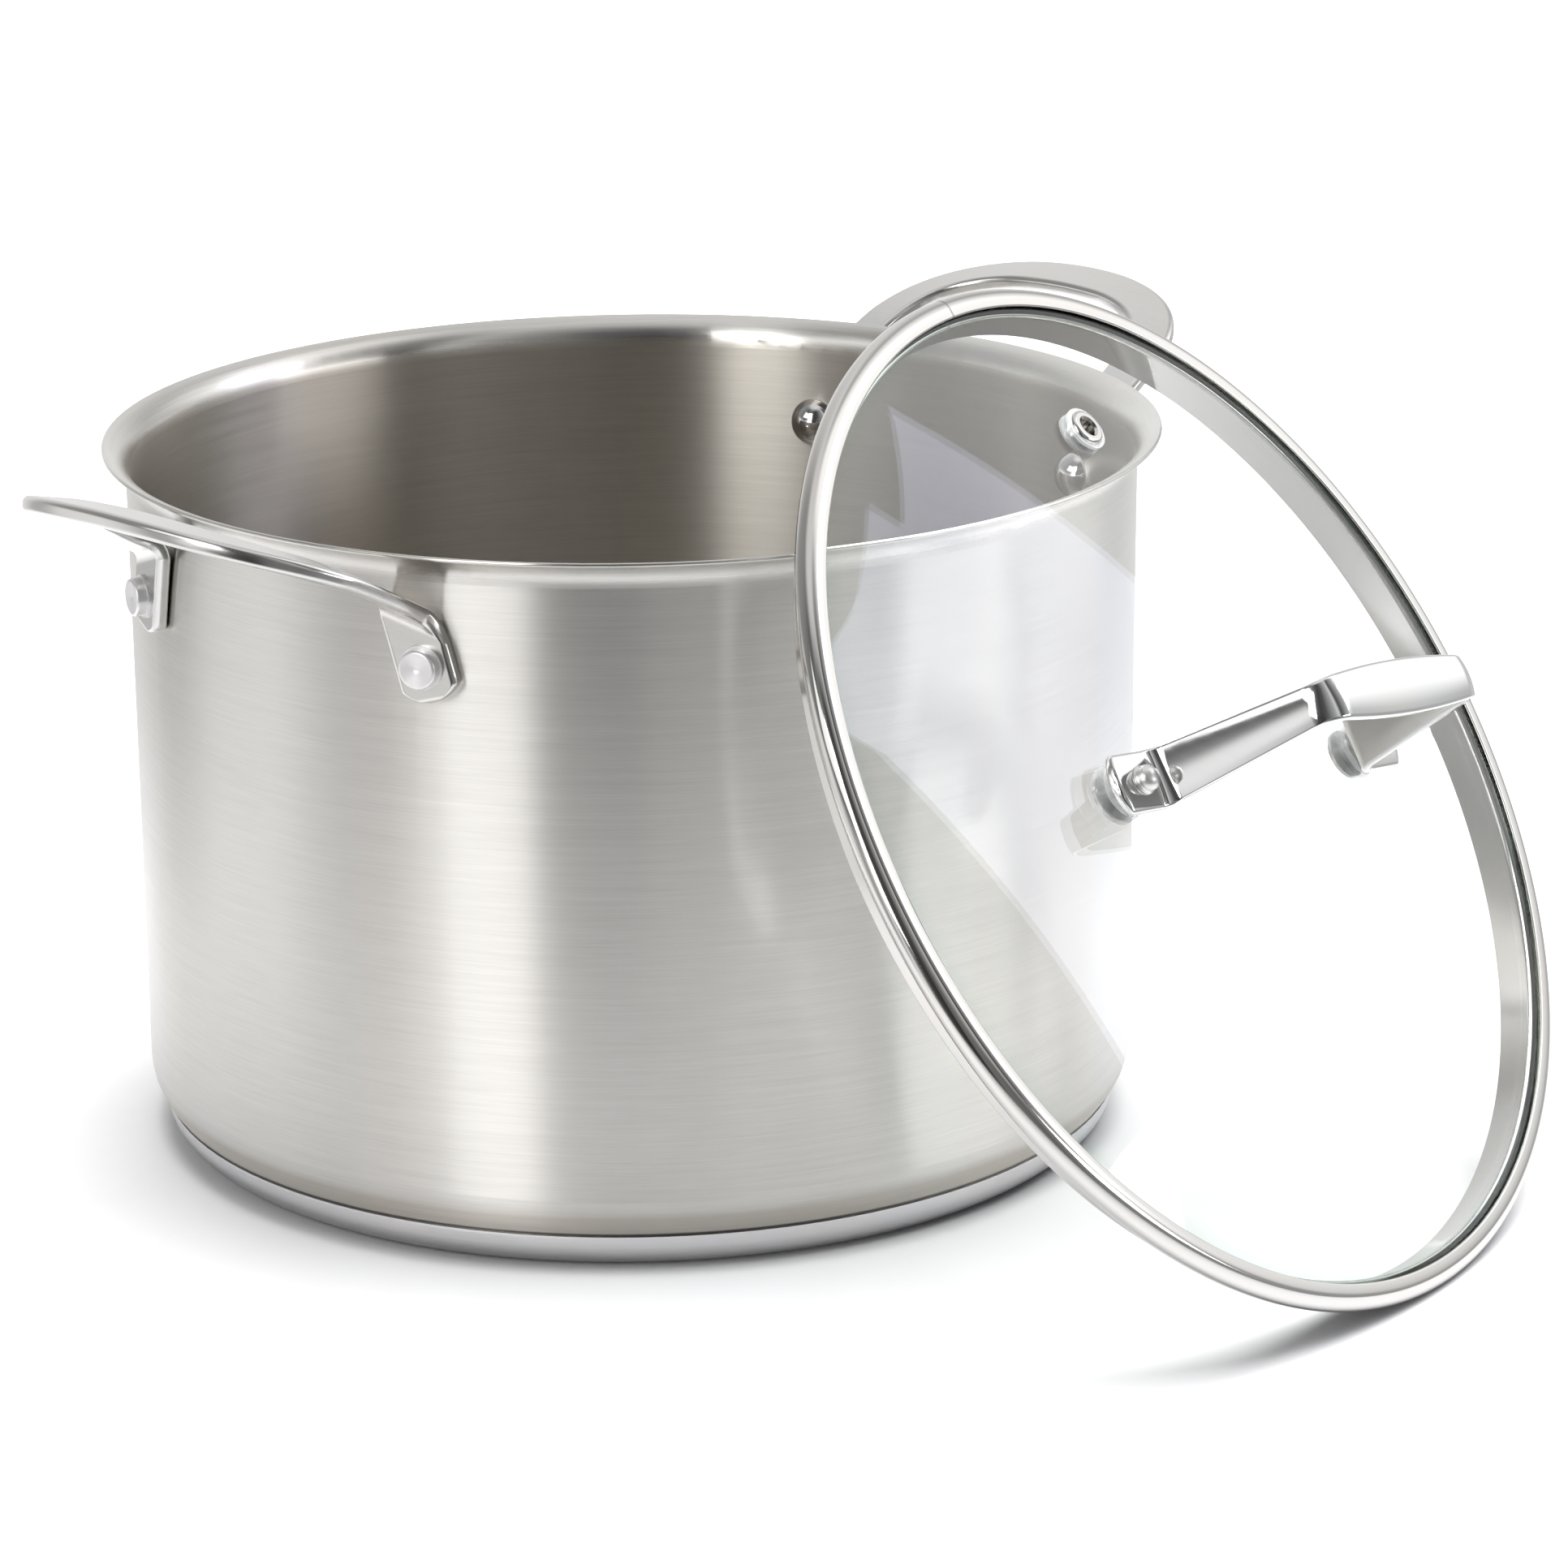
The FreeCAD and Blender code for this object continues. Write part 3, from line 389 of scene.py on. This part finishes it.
finish_node("pot_body", wall_steel)
finish_node("base_cap", base_steel)
finish_node("base_core", core_metal)
for side in ("left", "right"):
    finish_node(f"handle_{side}", handle_steel)
    for end in ("front", "back"):
        finish_node(f"handle_rivet_{side}_{end}", rivet_steel)
finish_node("lid_glass", clear_glass)
finish_node("lid_rim", rim_steel)
finish_node("lid_handle", strap_steel)
finish_node("vent_eyelet", polished)
finish_node("vent_seal", silicone)
for side in ("near", "far"):
    finish_node(f"lid_pad_{side}", silicone)
    finish_node(f"lid_seal_{side}", silicone)
    finish_node(f"lid_washer_{side}", polished)
    finish_node(f"lid_rivet_{side}", lid_rivet_steel)


# ---------------------------------------------------------------- pieces made here
def mesh_piece(name, rings, material, body, node, closed=False):
    """Skins a run of point rings into a piece, attaches it to its body and hides the CAD node it stands
    in for. A closed run goes back to its first ring; an open one gets a cap at each end."""
    mesh = bmesh.new()
    loops = [[mesh.verts.new(point) for point in ring] for ring in rings]
    count = len(loops[0])
    for near, far in zip(loops, loops[1:] + loops[:1] if closed else loops[1:]):
        for index in range(count):
            following = (index + 1) % count
            mesh.faces.new((near[index], near[following], far[following], far[index]))
    if not closed:
        mesh.faces.new(loops[0][::-1])
        mesh.faces.new(loops[-1])
    bmesh.ops.recalc_face_normals(mesh, faces=mesh.faces)
    for face in mesh.faces:
        face.smooth = True
    data = bpy.data.meshes.new(name)
    mesh.to_mesh(data)
    mesh.free()
    piece = bpy.data.objects.new(name, data)
    bpy.context.scene.collection.objects.link(piece)
    # flat stretches keep their own normals beside the narrow rounded edges
    even = piece.modifiers.new("even", "WEIGHTED_NORMAL")
    even.keep_sharp = False
    data.materials.append(material)
    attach(piece, body)
    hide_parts(node)


def rounding_inset(edge, from_end):
    """How far a surface has sunk this close to an end that is rounded with radius edge."""
    if from_end >= edge:
        return 0.0
    return edge - math.sqrt(edge**2 - (edge - from_end) ** 2)


# ---------------------------------------------------------------- loop handles
class LoopHandle:
    """The handle at +X in millimetres: a dished loop whose legs bend down into tabs
    on the wall. Every section is a plate with well rounded edges."""

    PLATE = 3.8
    EDGE = 1.5
    WALL = 121.0
    BEND = 3.5
    RIVET_ANGLE = math.radians(21.8)
    RIVET_HEIGHT = 145.2
    # The tab, measured from its rivet, how far it slants off upright, and how near its
    # lower end the closely set stations lie.
    SLANT = math.radians(15.0)
    TAB_HALF = 7.2
    TAB_TOP = 8.5
    TAB_STRAIGHT = 0.8
    TAB_SIDE = 5.2
    TAB_END = 8.7
    TIP, FIRST = 3.3, 0.004
    # The plate's upper face: its height at the wall, and how it rises and droops.
    TOP_AT_WALL, RISE, EASE = 164.7, 0.692, 0.006
    DISH, DISH_SPAN = 2.9, 50.0
    # Each edge of the loop: reach, length and half width, and the power of its curve.
    OUTER = (169.0, 39.5, 49.0, 2.35)
    INNER = (156.0, 32.5, 37.6, 3.0)
    ANGLES = (84, 76, 66, 55, 44, 33, 22, 11, 0, -11)
    # Where the leg begins: its middle, then its inner and outer edge.
    LEG_START = (WALL + 3.0, 43.0)
    LEG_EDGES = ((WALL + 2.5, INNER[2] + 0.1), (WALL + 3.0, OUTER[2] + 0.5))
    LEG_NARROWING = 0.2
    TIP_STEPS, TAB_STEPS, BEND_STEPS, LEG_STEPS, CORNER_STEPS = 14, 7, 16, 7, 6

    def __init__(self):
        turn = self.RIVET_ANGLE
        self.outward = Vector((math.cos(turn), math.sin(turn), 0))
        self.sideways = Vector((-math.sin(turn), math.cos(turn), 0))
        self.rivet = self.outward * self.WALL + Vector((0, 0, self.RIVET_HEIGHT))
        up = Vector((0, 0, 1))
        self.tab_up = up * math.cos(self.SLANT) - self.sideways * math.sin(self.SLANT)
        self.tab_side = self.sideways * math.cos(self.SLANT) + up * math.sin(self.SLANT)
        # the bend folds the plate about this line, which follows the leg's own slope
        self.grip_up = self.normal(Vector((*self.LEG_START, 0)))
        fold = self.grip_up.cross(self.outward).normalized()
        self.fold = -fold if fold.y < 0 else fold
        rise = self.fold.cross(self.outward).normalized()
        self.rise = -rise if rise.z < 0 else rise

    def height(self, x, y):
        """Height of the plate's upper face."""
        beyond = x - self.WALL
        rise = self.RISE * beyond - self.EASE * beyond**2
        droop = self.DISH * (1 + beyond / self.DISH_SPAN) * (y / self.DISH_SPAN) ** 2
        return self.TOP_AT_WALL + rise - droop

    def normal(self, point):
        x, y, step = point.x, point.y, 0.01
        slope_x = (self.height(x + step, y) - self.height(x - step, y)) / (2 * step)
        slope_y = (self.height(x, y + step) - self.height(x, y - step)) / (2 * step)
        return Vector((-slope_x, -slope_y, 1)).normalized()

    def outline(self, shape, angle):
        """A point on the loop's inner or outer edge."""
        reach, length, half, power = shape
        side = math.copysign(1, math.sin(angle))
        along = math.cos(angle) ** (2 / power)
        across = side * abs(math.sin(angle)) ** (2 / power)
        x, y = reach - length + length * along, half * across
        return Vector((x, y, self.height(x, y)))

    def shoulder(self):
        """Stations of the bend, from the top of the tab to the leg of the loop."""
        turn = math.acos(-self.grip_up.dot(self.outward))
        drift = self.tab_up.dot(self.fold) / self.tab_up.dot(self.rise)
        half = self.TAB_HALF / self.tab_up.dot(self.rise)
        hub = self.rivet + self.tab_up * self.TAB_TOP + self.outward * (self.PLATE + self.BEND)
        found = []
        for step in range(self.BEND_STEPS + 1):
            part = step / self.BEND_STEPS
            angle = turn * part
            normal = self.rise * math.sin(angle) - self.outward * math.cos(angle)
            shift = self.fold * (drift * (self.BEND + self.PLATE / 2) * angle)
            middle = hub + normal * (self.PLATE + self.BEND) + shift
            reach = half * (1 - self.LEG_NARROWING * part)
            found.append((middle - self.fold * reach, middle + self.fold * reach, normal))
        return found

    def tab(self):
        """Stations of the tab, from its rounded lower end up to the bend."""
        sagitta = self.TAB_END - self.TAB_SIDE
        radius = (self.TAB_HALF**2 + sagitta**2) / (2 * sagitta)
        centre = radius - self.TAB_END
        levels = []
        for step in range(self.TIP_STEPS + 1):
            from_end = self.TIP * (step / self.TIP_STEPS) ** 2 + self.FIRST
            levels.append((from_end - self.TAB_END, 0.0, from_end))
        for level in (-4.6, -3.4, -1.5, self.TAB_STRAIGHT):
            levels.append((level, 0.0, self.TAB_END))
        for step in range(1, self.TAB_STEPS):
            rise = (self.TAB_TOP - self.TAB_STRAIGHT) * step / self.TAB_STEPS
            levels.append((self.TAB_STRAIGHT + rise, step / self.TAB_STEPS, self.TAB_END))
        stations = []
        for level, swing, from_end in levels:
            across = (self.tab_side * (1 - swing) + self.fold * swing).normalized()
            half = self.TAB_HALF / across.dot(self.tab_side)
            if level < -self.TAB_SIDE:
                half = math.sqrt(radius**2 - (level - centre) ** 2)
            inset = rounding_inset(self.EDGE, from_end)
            middle = self.rivet + self.tab_up * level
            stations.append((middle - across * half, middle + across * half, -self.outward, inset))
        return stations

    def spline(self, knots):
        """A smooth run of stations through the knots; the first and last only guide it."""
        run = []
        for before, start, end, after in zip(knots, knots[1:], knots[2:], knots[3:]):
            for step in range(self.LEG_STEPS):
                t = step / self.LEG_STEPS
                station = []
                for p, q, r, s in zip(before, start, end, after):
                    bent = (2 * p - 5 * q + 4 * r - s) * t**2 + (3 * q - p - 3 * r + s) * t**3
                    station.append(((2 * q) + (r - p) * t + bent) / 2)
                run.append(tuple(station))
        return run

    def stations(self):
        """(inner edge, outer edge, normal, inset) all along the handle."""
        bend = self.shoulder()
        inner, outer = (Vector((x, y, self.height(x, y))) for x, y in self.LEG_EDGES)
        knots = [bend[-5], bend[-1], (inner, outer, self.normal((inner + outer) / 2))]
        for degrees in self.ANGLES:
            angle = math.radians(degrees)
            inner, outer = self.outline(self.INNER, angle), self.outline(self.OUTER, angle)
            knots.append((inner, outer, self.normal((inner + outer) / 2)))
        half = self.tab() + [(*station, 0.0) for station in bend[:-1] + self.spline(knots)]
        tip = (*knots[-2], 0.0)
        flip = Matrix.Diagonal((1, -1, 1))
        other = [(flip @ a, flip @ b, flip @ n, inset) for a, b, n, inset in reversed(half)]
        return half + [tip] + other

    def section(self, inner, outer, normal, inset):
        """The plate's rounded outline at one station."""
        across = (outer - inner).normalized()
        normal = (normal - across * normal.dot(across)).normalized()
        width, depth = (outer - inner).length, self.PLATE - 2 * inset
        edge = min(self.EDGE - inset * 0.6, width * 0.45, depth * 0.45)
        left, right, top, bottom = edge, width - edge, -edge, edge - depth
        points = []
        for x, y, first in ((right, top, 90), (right, bottom, 0), (left, bottom, -90), (left, top, 180)):
            for step in range(self.CORNER_STEPS + 1):
                angle = math.radians(first - 90 * step / self.CORNER_STEPS)
                along = across * (x + edge * math.cos(angle))
                deep = normal * (y - inset + edge * math.sin(angle))
                points.append(inner + along + deep)
        return points

    def rings(self, azimuth):
        turn = Matrix.Rotation(math.radians(azimuth), 3, "Z")
        return [[turn @ point * MM for point in self.section(*station)] for station in self.stations()]


loop = LoopHandle()
for side, azimuth in (("right", -0.5), ("left", 181.0)):
    mesh_piece(f"loop_{side}", loop.rings(azimuth), handle_steel, "pot", f"handle_{side}")


# ---------------------------------------------------------------- lid strap, rivets and rim
STRAP_ASIDE = (0.6, -1.3)
RIVET_X = 47.5


def lid_point(x, y, z):
    """From the lid's own frame, in millimetres, to the object frame in metres."""
    return LID_TURN @ Vector((x, y, z)) * MM + Vector(LID_MIDDLE)


def strap_point(x, y, z):
    """The same for the strap and its rivets, which sit a little off the lid's middle."""
    return lid_point(x + STRAP_ASIDE[0], y + STRAP_ASIDE[1], z)


class Strap:
    """The arched strap in the lid's frame: a crowned band with rounded edges."""

    # The sheet's thickness, the levels of its upper face, and places outward from the
    # middle; TAB_SPOT is a spare station on the flat of the tab.
    SHEET, TAB, TOP = 3.0, 19.6, 62.5
    SHOULDER, FOOT, TAB_SPOT, END = 31.0, 40.5, 50.0, 56.8
    # Half widths, and how far the tab's end bulges.
    MIDDLE_HALF, WAIST_HALF, TAB_HALF, END_DROP = 6.6, 4.8, 7.1, 2.4
    FOOT_BEND, SHOULDER_BEND = 3.5, 8.0
    # The band's rounded edge, its crown above, and the crown below as a share of that.
    EDGE, CROWN, UNDER_SHARE = 0.95, 0.45, 0.6
    # How many stations there are, and how near the tip the closely set ones lie.
    TIP_STEPS, FOOT_STEPS, LEG_STEPS, SHOULDER_STEPS = 12, 10, 8, 14
    TIP = 2.6
    FIRST, INLAND = 0.003, 9

    def half(self, x):
        """Half width of the band in plan."""
        x = abs(x)
        if x > self.END - self.END_DROP:
            radius = (self.TAB_HALF**2 + self.END_DROP**2) / (2 * self.END_DROP)
            centre = self.END - radius
            return math.sqrt(max(radius**2 - (x - centre) ** 2, 0.0001))
        if x > self.FOOT:
            return self.TAB_HALF
        if x > self.SHOULDER:
            part = (x - self.SHOULDER) / (self.FOOT - self.SHOULDER)
            return self.WAIST_HALF + (self.TAB_HALF - self.WAIST_HALF) * part
        bulge = self.MIDDLE_HALF - self.WAIST_HALF
        radius = (self.SHOULDER**2 + bulge**2) / (2 * bulge)
        return self.MIDDLE_HALF - radius + math.sqrt(radius**2 - x**2)

    def path(self):
        """(x, z, normal x, normal z, distance from the tip) of the upper face, from the
        near tip to the far one. The distance is INLAND once clear of the rounded tip."""
        leg = Vector((self.FOOT - self.SHOULDER, self.TOP - self.TAB)).normalized()
        turn = math.acos(leg.x)
        reach = math.tan(turn / 2)
        points = []
        for step in range(self.TIP_STEPS + 1):
            from_end = self.TIP * (step / self.TIP_STEPS) ** 2 + self.FIRST
            points.append((from_end - self.END, self.TAB, 0, 1, from_end))
        points.append((-self.TAB_SPOT, self.TAB, 0, 1, self.INLAND))
        for step in range(self.FOOT_STEPS + 1):
            angle = turn * step / self.FOOT_STEPS
            x = -self.FOOT - self.FOOT_BEND * reach + self.FOOT_BEND * math.sin(angle)
            z = self.TAB + self.FOOT_BEND * (1 - math.cos(angle))
            points.append((x, z, -math.sin(angle), math.cos(angle), self.INLAND))
        low = Vector((-self.FOOT, self.TAB)) + leg * self.FOOT_BEND * reach
        high = Vector((-self.SHOULDER, self.TOP)) - leg * self.SHOULDER_BEND * reach
        for step in range(1, self.LEG_STEPS):
            spot = low.lerp(high, step / self.LEG_STEPS)
            points.append((spot.x, spot.y, -leg.y, leg.x, self.INLAND))
        hub = high - Vector((-leg.y, leg.x)) * self.SHOULDER_BEND
        for step in range(self.SHOULDER_STEPS + 1):
            angle = turn * (1 - step / self.SHOULDER_STEPS)
            x, z = -math.sin(angle), math.cos(angle)
            spot = (hub.x + self.SHOULDER_BEND * x, hub.y + self.SHOULDER_BEND * z)
            points.append((*spot, x, z, self.INLAND))
        for x in (-20, -15, -10, -5):
            points.append((x, self.TOP, 0, 1, self.INLAND))
        other = [(-x, z, -nx, nz, end) for x, z, nx, nz, end in reversed(points)]
        return points + [(0, self.TOP, 0, 1, self.INLAND)] + other

    def profile(self):
        """(share of the half width, degrees round the edge) from left to right."""
        left = [(-1, degrees) for degrees in (90, 72, 54, 36, 18)]
        flat = [(share / 5, 0) for share in range(-5, 6)]
        right = [(1, degrees) for degrees in (18, 36, 54, 72, 90)]
        return left + flat + right

    def section(self, x, z, nx, nz, from_end):
        """The band's outline at one station: its upper side, then its lower side back."""
        inset = rounding_inset(self.EDGE, from_end)
        edge = self.EDGE * min(1.0, self.half(x) / 3)
        upper = self.profile()
        points = []
        for run, crown in ((upper, self.CROWN), (upper[::-1], self.CROWN * self.UNDER_SHARE)):
            for share, degrees in run:
                rounding = edge * (1 - math.cos(math.radians(degrees)))
                down = inset + crown * share**2 + rounding
                if run is not upper:
                    down = self.SHEET - down
                spot_x, spot_z = x - nx * down, z - nz * down
                corner = math.copysign(edge * math.sin(math.radians(degrees)), share)
                y = share * (self.half(spot_x) - edge) + corner
                points.append(strap_point(spot_x, y, spot_z))
        return points

    def rings(self):
        return [self.section(*station) for station in self.path()]


def turned(outline, turns, point, middle=0.0):
    """Rings of points from an outline of (radius, level) turned about the Z axis."""
    angles = [2 * math.pi * step / turns for step in range(turns)]
    rings = []
    for radius, level in outline:
        rings.append([point(middle + radius * math.cos(a), radius * math.sin(a), level) for a in angles])
    return rings


def rivet_outline():
    """Low domed foot, shank, flange and high rounded head."""
    head, base, rise, steps = 3.1, 20.7, 2.65, 12
    outline = [(0.01, 6.1), (1.5, 6.2), (2.9, 6.6), (3.8, 7.2), (4.15, 7.65), (2.4, 7.7), (2.4, 19.6)]
    outline += [(3.35, 19.6), (3.45, 19.75), (3.4, 19.95), (head, 20.1), (head, base)]
    for step in range(1, steps):
        angle = math.radians(90 * step / steps)
        outline.append((head * math.cos(angle) ** 0.85, base + rise * math.sin(angle)))
    return outline + [(0.01, 23.36)]


def rim_outline():
    """A bead rolled round the edge of the glass, and a skirt that reaches into the pot."""
    middle, level, outer, inner = 123.2, -0.55, 3.2, 2.6
    outline = [(120.88, 2.3), (120.94, 2.5), (121.1, 2.62), (121.35, 2.65), (122.3, 2.65)]
    for degrees in range(90, -91, -10):
        angle = math.radians(degrees)
        outline.append((middle + outer * math.cos(angle), level + outer * math.sin(angle)))
    outline += [(122.6, -3.62), (120.4, -3.13), (119.9, -3.04), (119.55, -3.2), (119.25, -3.6)]
    outline += [(119.15, -4.1), (118.8, -7.5), (118.53, -10.1), (118.46, -10.3), (118.3, -10.39)]
    outline += [(118.1, -10.39), (117.97, -10.3), (117.92, -10.1), (118.2, -7.2), (118.55, -3.1)]
    outline += [(118.65, -2.7), (118.85, -2.3), (119.15, -2.09), (119.5, -2.15), (122.6, -2.98)]
    for degrees in range(-90, 91, 15):
        angle = math.radians(degrees)
        outline.append((middle + inner * math.cos(angle), level + inner * math.sin(angle)))
    return outline + [(122.3, 2.05), (121.35, 2.05), (121.1, 2.07), (120.94, 2.15)]


rim = turned(rim_outline(), 288, lid_point)
mesh_piece("rim_band", rim, rim_steel, "lid", "lid_rim", closed=True)
mesh_piece("strap", Strap().rings(), strap_steel, "lid", "lid_handle")
for side, x in (("near", -RIVET_X), ("far", RIVET_X)):
    rivet = turned(rivet_outline(), 40, strap_point, middle=x)
    mesh_piece(f"rivet_{side}", rivet, lid_rivet_steel, "lid", f"lid_rivet_{side}")


# ---------------------------------------------------------------- floor
FLOOR_HALF = 6.0
# Radii, in metres, between which the paper starts to shine by itself, and between
# which its reflection in the steel gives way to the studio.
PAPER_SHINES = (0.8, 3.0)
PAPER_ENDS = (0.24, 0.50)


def stage_floor():
    mesh = bpy.data.meshes.new("studio_floor")
    half = FLOOR_HALF
    corners = [(-half, -half, 0), (half, -half, 0), (half, half, 0), (-half, half, 0)]
    mesh.from_pydata(corners, [], [(0, 1, 2, 3)])
    floor = bpy.data.objects.new("studio_floor", mesh)
    bpy.context.scene.collection.objects.link(floor)
    floor.data.materials.append(studio_paper())


def studio_paper():
    shader = Shader("studio_paper")
    place = shader.place()
    speckle = shader.noise(place, 60.0, 3.0, 0.6)
    white = shader.blend(speckle, rgb(0.92, 0.92, 0.925), rgb(0.95, 0.95, 0.955))
    shader.set(Base_Color=white, Roughness=0.9, Specular_IOR_Level=0.1)
    # far out the paper is lit evenly, up to the horizon
    lit = shader.span(shader.radius(place), *PAPER_SHINES, 0.0, 0.6)
    shader.set(Emission_Color=rgb(1.0, 1.0, 1.0), Emission_Strength=lit)
    # in the steel the paper reads dimmer, and past its edge the studio shows
    dim = shader.add("ShaderNodeBsdfDiffuse")
    dim.inputs["Color"].default_value = rgb(0.72, 0.72, 0.73)
    beyond = shader.add("ShaderNodeBsdfTransparent")
    edge = shader.span(shader.radius(place), *PAPER_ENDS, 0.0, 1.0)
    paper = shader.either(edge, dim.outputs[0], beyond.outputs[0])
    path = shader.add("ShaderNodeLightPath")
    mirrored = shader.math("GREATER_THAN", path.outputs["Glossy Depth"], 0.5)
    shader.show(shader.either(mirrored, shader.surface.outputs[0], paper))
    return shader.material


# ---------------------------------------------------------------- light
# Grey levels of the studio by direction: degrees round from the camera, to its right.
# Level with the pot and below it:
STUDIO = [
    (-180, 0.95), (-160, 0.92), (-147, 0.84), (-134, 0.56), (-122, 0.58), (-108, 0.98),
    (-88, 1.10), (-78, 0.82), (-67, 0.50), (-55, 0.48), (-51, 0.96), (-44, 0.98),
    (-36, 0.40), (-24, 0.08), (-8, 0.05), (0, 0.04), (5, 0.18), (18, 0.22),
    (34, 0.18), (52, 0.28), (60, 0.30), (76, 0.30), (90, 0.36), (105, 0.45),
    (125, 0.65), (148, 0.65), (165, 0.85), (180, 0.95),
]
# Above it:
UPPER = [
    (-180, 0.95), (-150, 0.75), (-125, 0.40), (-95, 0.32), (-60, 0.15), (-38, 0.25),
    (-8, 0.06), (8, 0.10), (20, 0.24), (36, 0.42), (48, 0.75), (56, 0.12), (62, 0.10),
    (88, 0.50), (104, 1.50), (122, 1.50), (150, 0.55), (180, 0.95),
]
# Heights, in degrees, over which the lower ring gives way to the upper one, and the
# upper one to the ceiling.
UPPER_STARTS = (6, 20)
CEILING_STARTS = (58, 80)
CEILING = rgb(0.9, 0.9, 0.91)
# Lit panels: left and right edge, low and high edge in degrees, and colour.
PANELS = [
    (-72, -43, 22, 46, rgb(1.5, 1.5, 1.5)),
    (-43, -23, 5, 48, rgb(4.4, 4.4, 4.4)),
    (61, 91, 5, 14, rgb(5.0, 5.0, 5.0)),
    (92, 111, 16, 40, rgb(2.7, 2.73, 3.08)),
    (111, 121, 24, 38, rgb(2.7, 2.73, 3.08)),
]
BACKDROP = 1.02


def grey_ring(sky, position, levels):
    """The level by direction, where position runs from 0 to 1 once round."""
    ramp = sky.add("ShaderNodeValToRGB")
    stops = ramp.color_ramp.elements
    for index, (degrees, level) in enumerate(levels):
        spot = degrees / 360.0 + 0.5
        stop = stops[index] if index < 2 else stops.new(spot)
        stop.position = spot
        stop.color = rgb(level, level, level)
    sky.join(position, ramp.inputs[0])
    return ramp.outputs[0]


def with_panels(sky, light, turn, height):
    """The light with the lit panels on it. turn counts whole turns, height radians."""
    for left, right, low, high, colour in PANELS:
        across = sky.times(
            sky.math("GREATER_THAN", turn, left / 360), sky.math("LESS_THAN", turn, right / 360)
        )
        upright = sky.times(
            sky.math("GREATER_THAN", height, math.radians(low)),
            sky.math("LESS_THAN", height, math.radians(high)),
        )
        light = sky.blend(sky.times(across, upright), light, colour)
    return light


def studio_world():
    """Rings, ceiling and panels light the object. The backdrop is plain white, where it
    is seen directly or through clear pieces."""
    world = bpy.data.worlds.new("studio")
    bpy.context.scene.world = world
    world.use_nodes = True
    sky = NodeTree(world.node_tree)

    from_camera = sky.add("ShaderNodeVectorRotate", rotation_type="Z_AXIS")
    sky.join(sky.add("ShaderNodeTexCoord").outputs["Generated"], from_camera.inputs["Vector"])
    from_camera.inputs["Angle"].default_value = -CAMERA_SIDE
    x, y, z = sky.parts(from_camera.outputs[0])
    turn = sky.math("DIVIDE", sky.math("ARCTAN2", y, x), 2 * math.pi)
    position = sky.plus(turn, 0.5)
    height = sky.math("ARCSINE", z)

    low, high = (math.radians(degrees) for degrees in UPPER_STARTS)
    raised = sky.span(height, low, high, 0.0, 1.0, curve="SMOOTHSTEP")
    light = sky.blend(raised, grey_ring(sky, position, STUDIO), grey_ring(sky, position, UPPER))
    low, high = (math.radians(degrees) for degrees in CEILING_STARTS)
    overhead = sky.span(height, low, high, 0.0, 1.0, curve="SMOOTHSTEP")
    light = sky.blend(overhead, light, CEILING)
    lit = sky.add("ShaderNodeBackground")
    sky.join(with_panels(sky, light, turn, height), lit.inputs["Color"])

    white = sky.add("ShaderNodeBackground")
    white.inputs["Color"].default_value = rgb(1.0, 1.0, 1.0)
    white.inputs["Strength"].default_value = BACKDROP
    path = sky.add("ShaderNodeLightPath").outputs
    bounces = sky.plus(path["Glossy Depth"], path["Diffuse Depth"])
    through = sky.times(path["Is Transmission Ray"], sky.math("LESS_THAN", bounces, 0.5))
    seen = sky.math("MAXIMUM", path["Is Camera Ray"], through)
    output = sky.add("ShaderNodeOutputWorld")
    sky.join(sky.either(seen, lit.outputs[0], white.outputs[0]), output.inputs["Surface"])


def overhead_light():
    """One large soft lamp, which no camera and no mirror sees."""
    place, target = Vector((0.42, -0.22, 2.15)), Vector((0.05, -0.05, 0.0))
    lamp = bpy.data.lights.new("overhead", "AREA")
    lamp.size = 2.4
    lamp.energy = 106.0
    holder = bpy.data.objects.new("overhead", lamp)
    holder.location = place
    holder.rotation_euler = (target - place).to_track_quat("-Z", "Y").to_euler()
    bpy.context.scene.collection.objects.link(holder)
    holder.visible_camera = False
    holder.visible_glossy = False


stage_floor()
studio_world()
overhead_light()


# ---------------------------------------------------------------- camera
def camera():
    """The camera's place and turn, first in a frame that looks along +Y."""
    yaw, pitch, roll = 0.0273, 0.3006, -0.0102
    place = Vector((0.0, -1.33371, 0.49419))
    forward = Vector((math.sin(yaw) * math.cos(pitch), math.cos(yaw) * math.cos(pitch), -math.sin(pitch)))
    level = Vector((math.cos(yaw), -math.sin(yaw), 0.0))
    up = level.cross(forward)
    right = level * math.cos(roll) + up * math.sin(roll)
    top = up * math.cos(roll) - level * math.sin(roll)
    swing = Matrix.Rotation(CAMERA_SWING, 3, "Z")
    columns = [swing @ right, swing @ top, swing @ -forward]
    turn = Matrix(columns).transposed().to_4x4()
    data = bpy.data.cameras.new("camera")
    data.sensor_width = 36.0
    data.lens = 130.44
    data.clip_end = 50.0
    holder = bpy.data.objects.new("camera", data)
    holder.matrix_world = Matrix.Translation(swing @ place) @ turn
    bpy.context.scene.collection.objects.link(holder)
    bpy.context.scene.camera = holder


camera()
scene = bpy.context.scene
scene.view_settings.view_transform = "Standard"
scene.view_settings.look = "None"
scene.cycles.max_bounces = 14
scene.cycles.transmission_bounces = 12
scene.cycles.glossy_bounces = 8
scene.cycles.transparent_max_bounces = 12
scene.cycles.caustics_reflective = False
scene.cycles.caustics_refractive = False
scene.cycles.sample_clamp_indirect = 6.0
